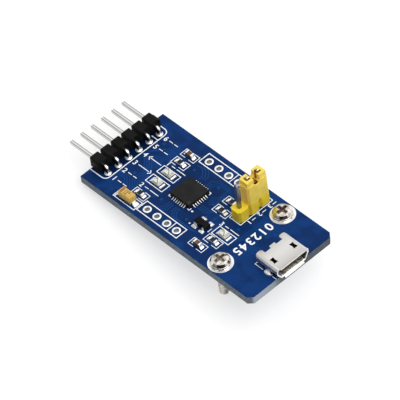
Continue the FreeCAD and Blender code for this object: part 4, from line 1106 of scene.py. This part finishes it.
# %% A pale plane under the tips and tails
TIPS_TO_TAILS = 0.0308
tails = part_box("header_pin_1")[0].z
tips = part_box("screw_front")[0].z
lean = math.atan2(tails - tips, TIPS_TO_TAILS)
paper = Finish("pale_floor")
cloth = paper.noise(0.05, 2.0)
PALE = paper.close(
    Base_Color=paper.mix(cloth, (0.35, 0.35, 0.35, 1), (0.37, 0.37, 0.37, 1)),
    Roughness=0.8 + cloth * 0.1,
    Specular_IOR_Level=0.1,
    Emission_Color=(1, 1, 1, 1),
    Emission_Strength=0.63,
)
bm = bmesh.new()
leaning = Matrix.Translation((0, 0, tips)) @ Matrix.Rotation(lean, 4, "Y")
bmesh.ops.create_grid(bm, x_segments=8, y_segments=8, size=1.5, matrix=leaning)
mesh = bpy.data.meshes.new("floor")
bm.to_mesh(mesh)
bm.free()
mesh.materials.append(PALE)
floor = bpy.data.objects.new("floor", mesh)
bpy.context.scene.collection.objects.link(floor)
print("the floor leans by", round(math.degrees(lean), 1), "degrees")

# %% [markdown]
# ## Light
#
# A tent of pale light gives the soft white product picture. Big lamps all round could do it too, but each
# would show in the metal. The tent is brightest overhead and behind, and fades towards the ground. Low in
# front of the socket's corner it has a dark opening, as a tent has where the camera looks in: the bright
# screw heads mirror it, and it gives them their dark crescent. One broad lamp adds the gentle shadow.
#
# The sky's strength is the product of two ramps, each along one direction.

# %% The tent
world = bpy.data.worlds.new("tent")
world.use_nodes = True
bpy.context.scene.world = world
sky = world.node_tree.nodes
links = world.node_tree.links
way = sky.new("ShaderNodeTexCoord")


def ramp(direction, start, end, first, last, blend="LINEAR"):
    """A value that goes from first to last as the sky's direction turns towards the given one."""
    toward = sky.new("ShaderNodeVectorMath")
    toward.operation = "DOT_PRODUCT"
    toward.inputs[1].default_value = direction
    links.new(way.outputs["Generated"], toward.inputs[0])
    shade = sky.new("ShaderNodeMapRange")
    shade.interpolation_type = blend
    for socket, value in zip(("From Min", "From Max", "To Min", "To Max"), (start, end, first, last)):
        shade.inputs[socket].default_value = value
    links.new(toward.outputs["Value"], shade.inputs["Value"])
    return shade.outputs["Result"]


both = sky.new("ShaderNodeMath")
both.operation = "MULTIPLY"
links.new(ramp((0.2, 0.45, 0.85), -0.5, 0.9, 0.1, 1.15), both.inputs[0])
links.new(ramp((0.79, -0.6, 0.14), 0.62, 0.8, 1.0, 0.03, "SMOOTHSTEP"), both.inputs[1])
links.new(both.outputs["Value"], sky["Background"].inputs["Strength"])
sky["Background"].inputs["Color"].default_value = (1, 1, 1, 1)
print(len(sky), "nodes in the sky")

# %% The lamp
lamp_place, lamp_aim = Vector((330, 40, 520)), Vector((-10, 0, 0))
key = bpy.data.lights.new("key", "AREA")
key.size = 0.5
key.energy = 2.4
holder = bpy.data.objects.new("key", key)
bpy.context.scene.collection.objects.link(holder)
holder.location = lamp_place * MM
holder.rotation_euler = (lamp_aim - lamp_place).to_track_quat("-Z", "Y").to_euler()
bpy.context.scene.view_settings.view_transform = "Standard"
print("lamp", round((lamp_aim - lamp_place).length), "mm away")
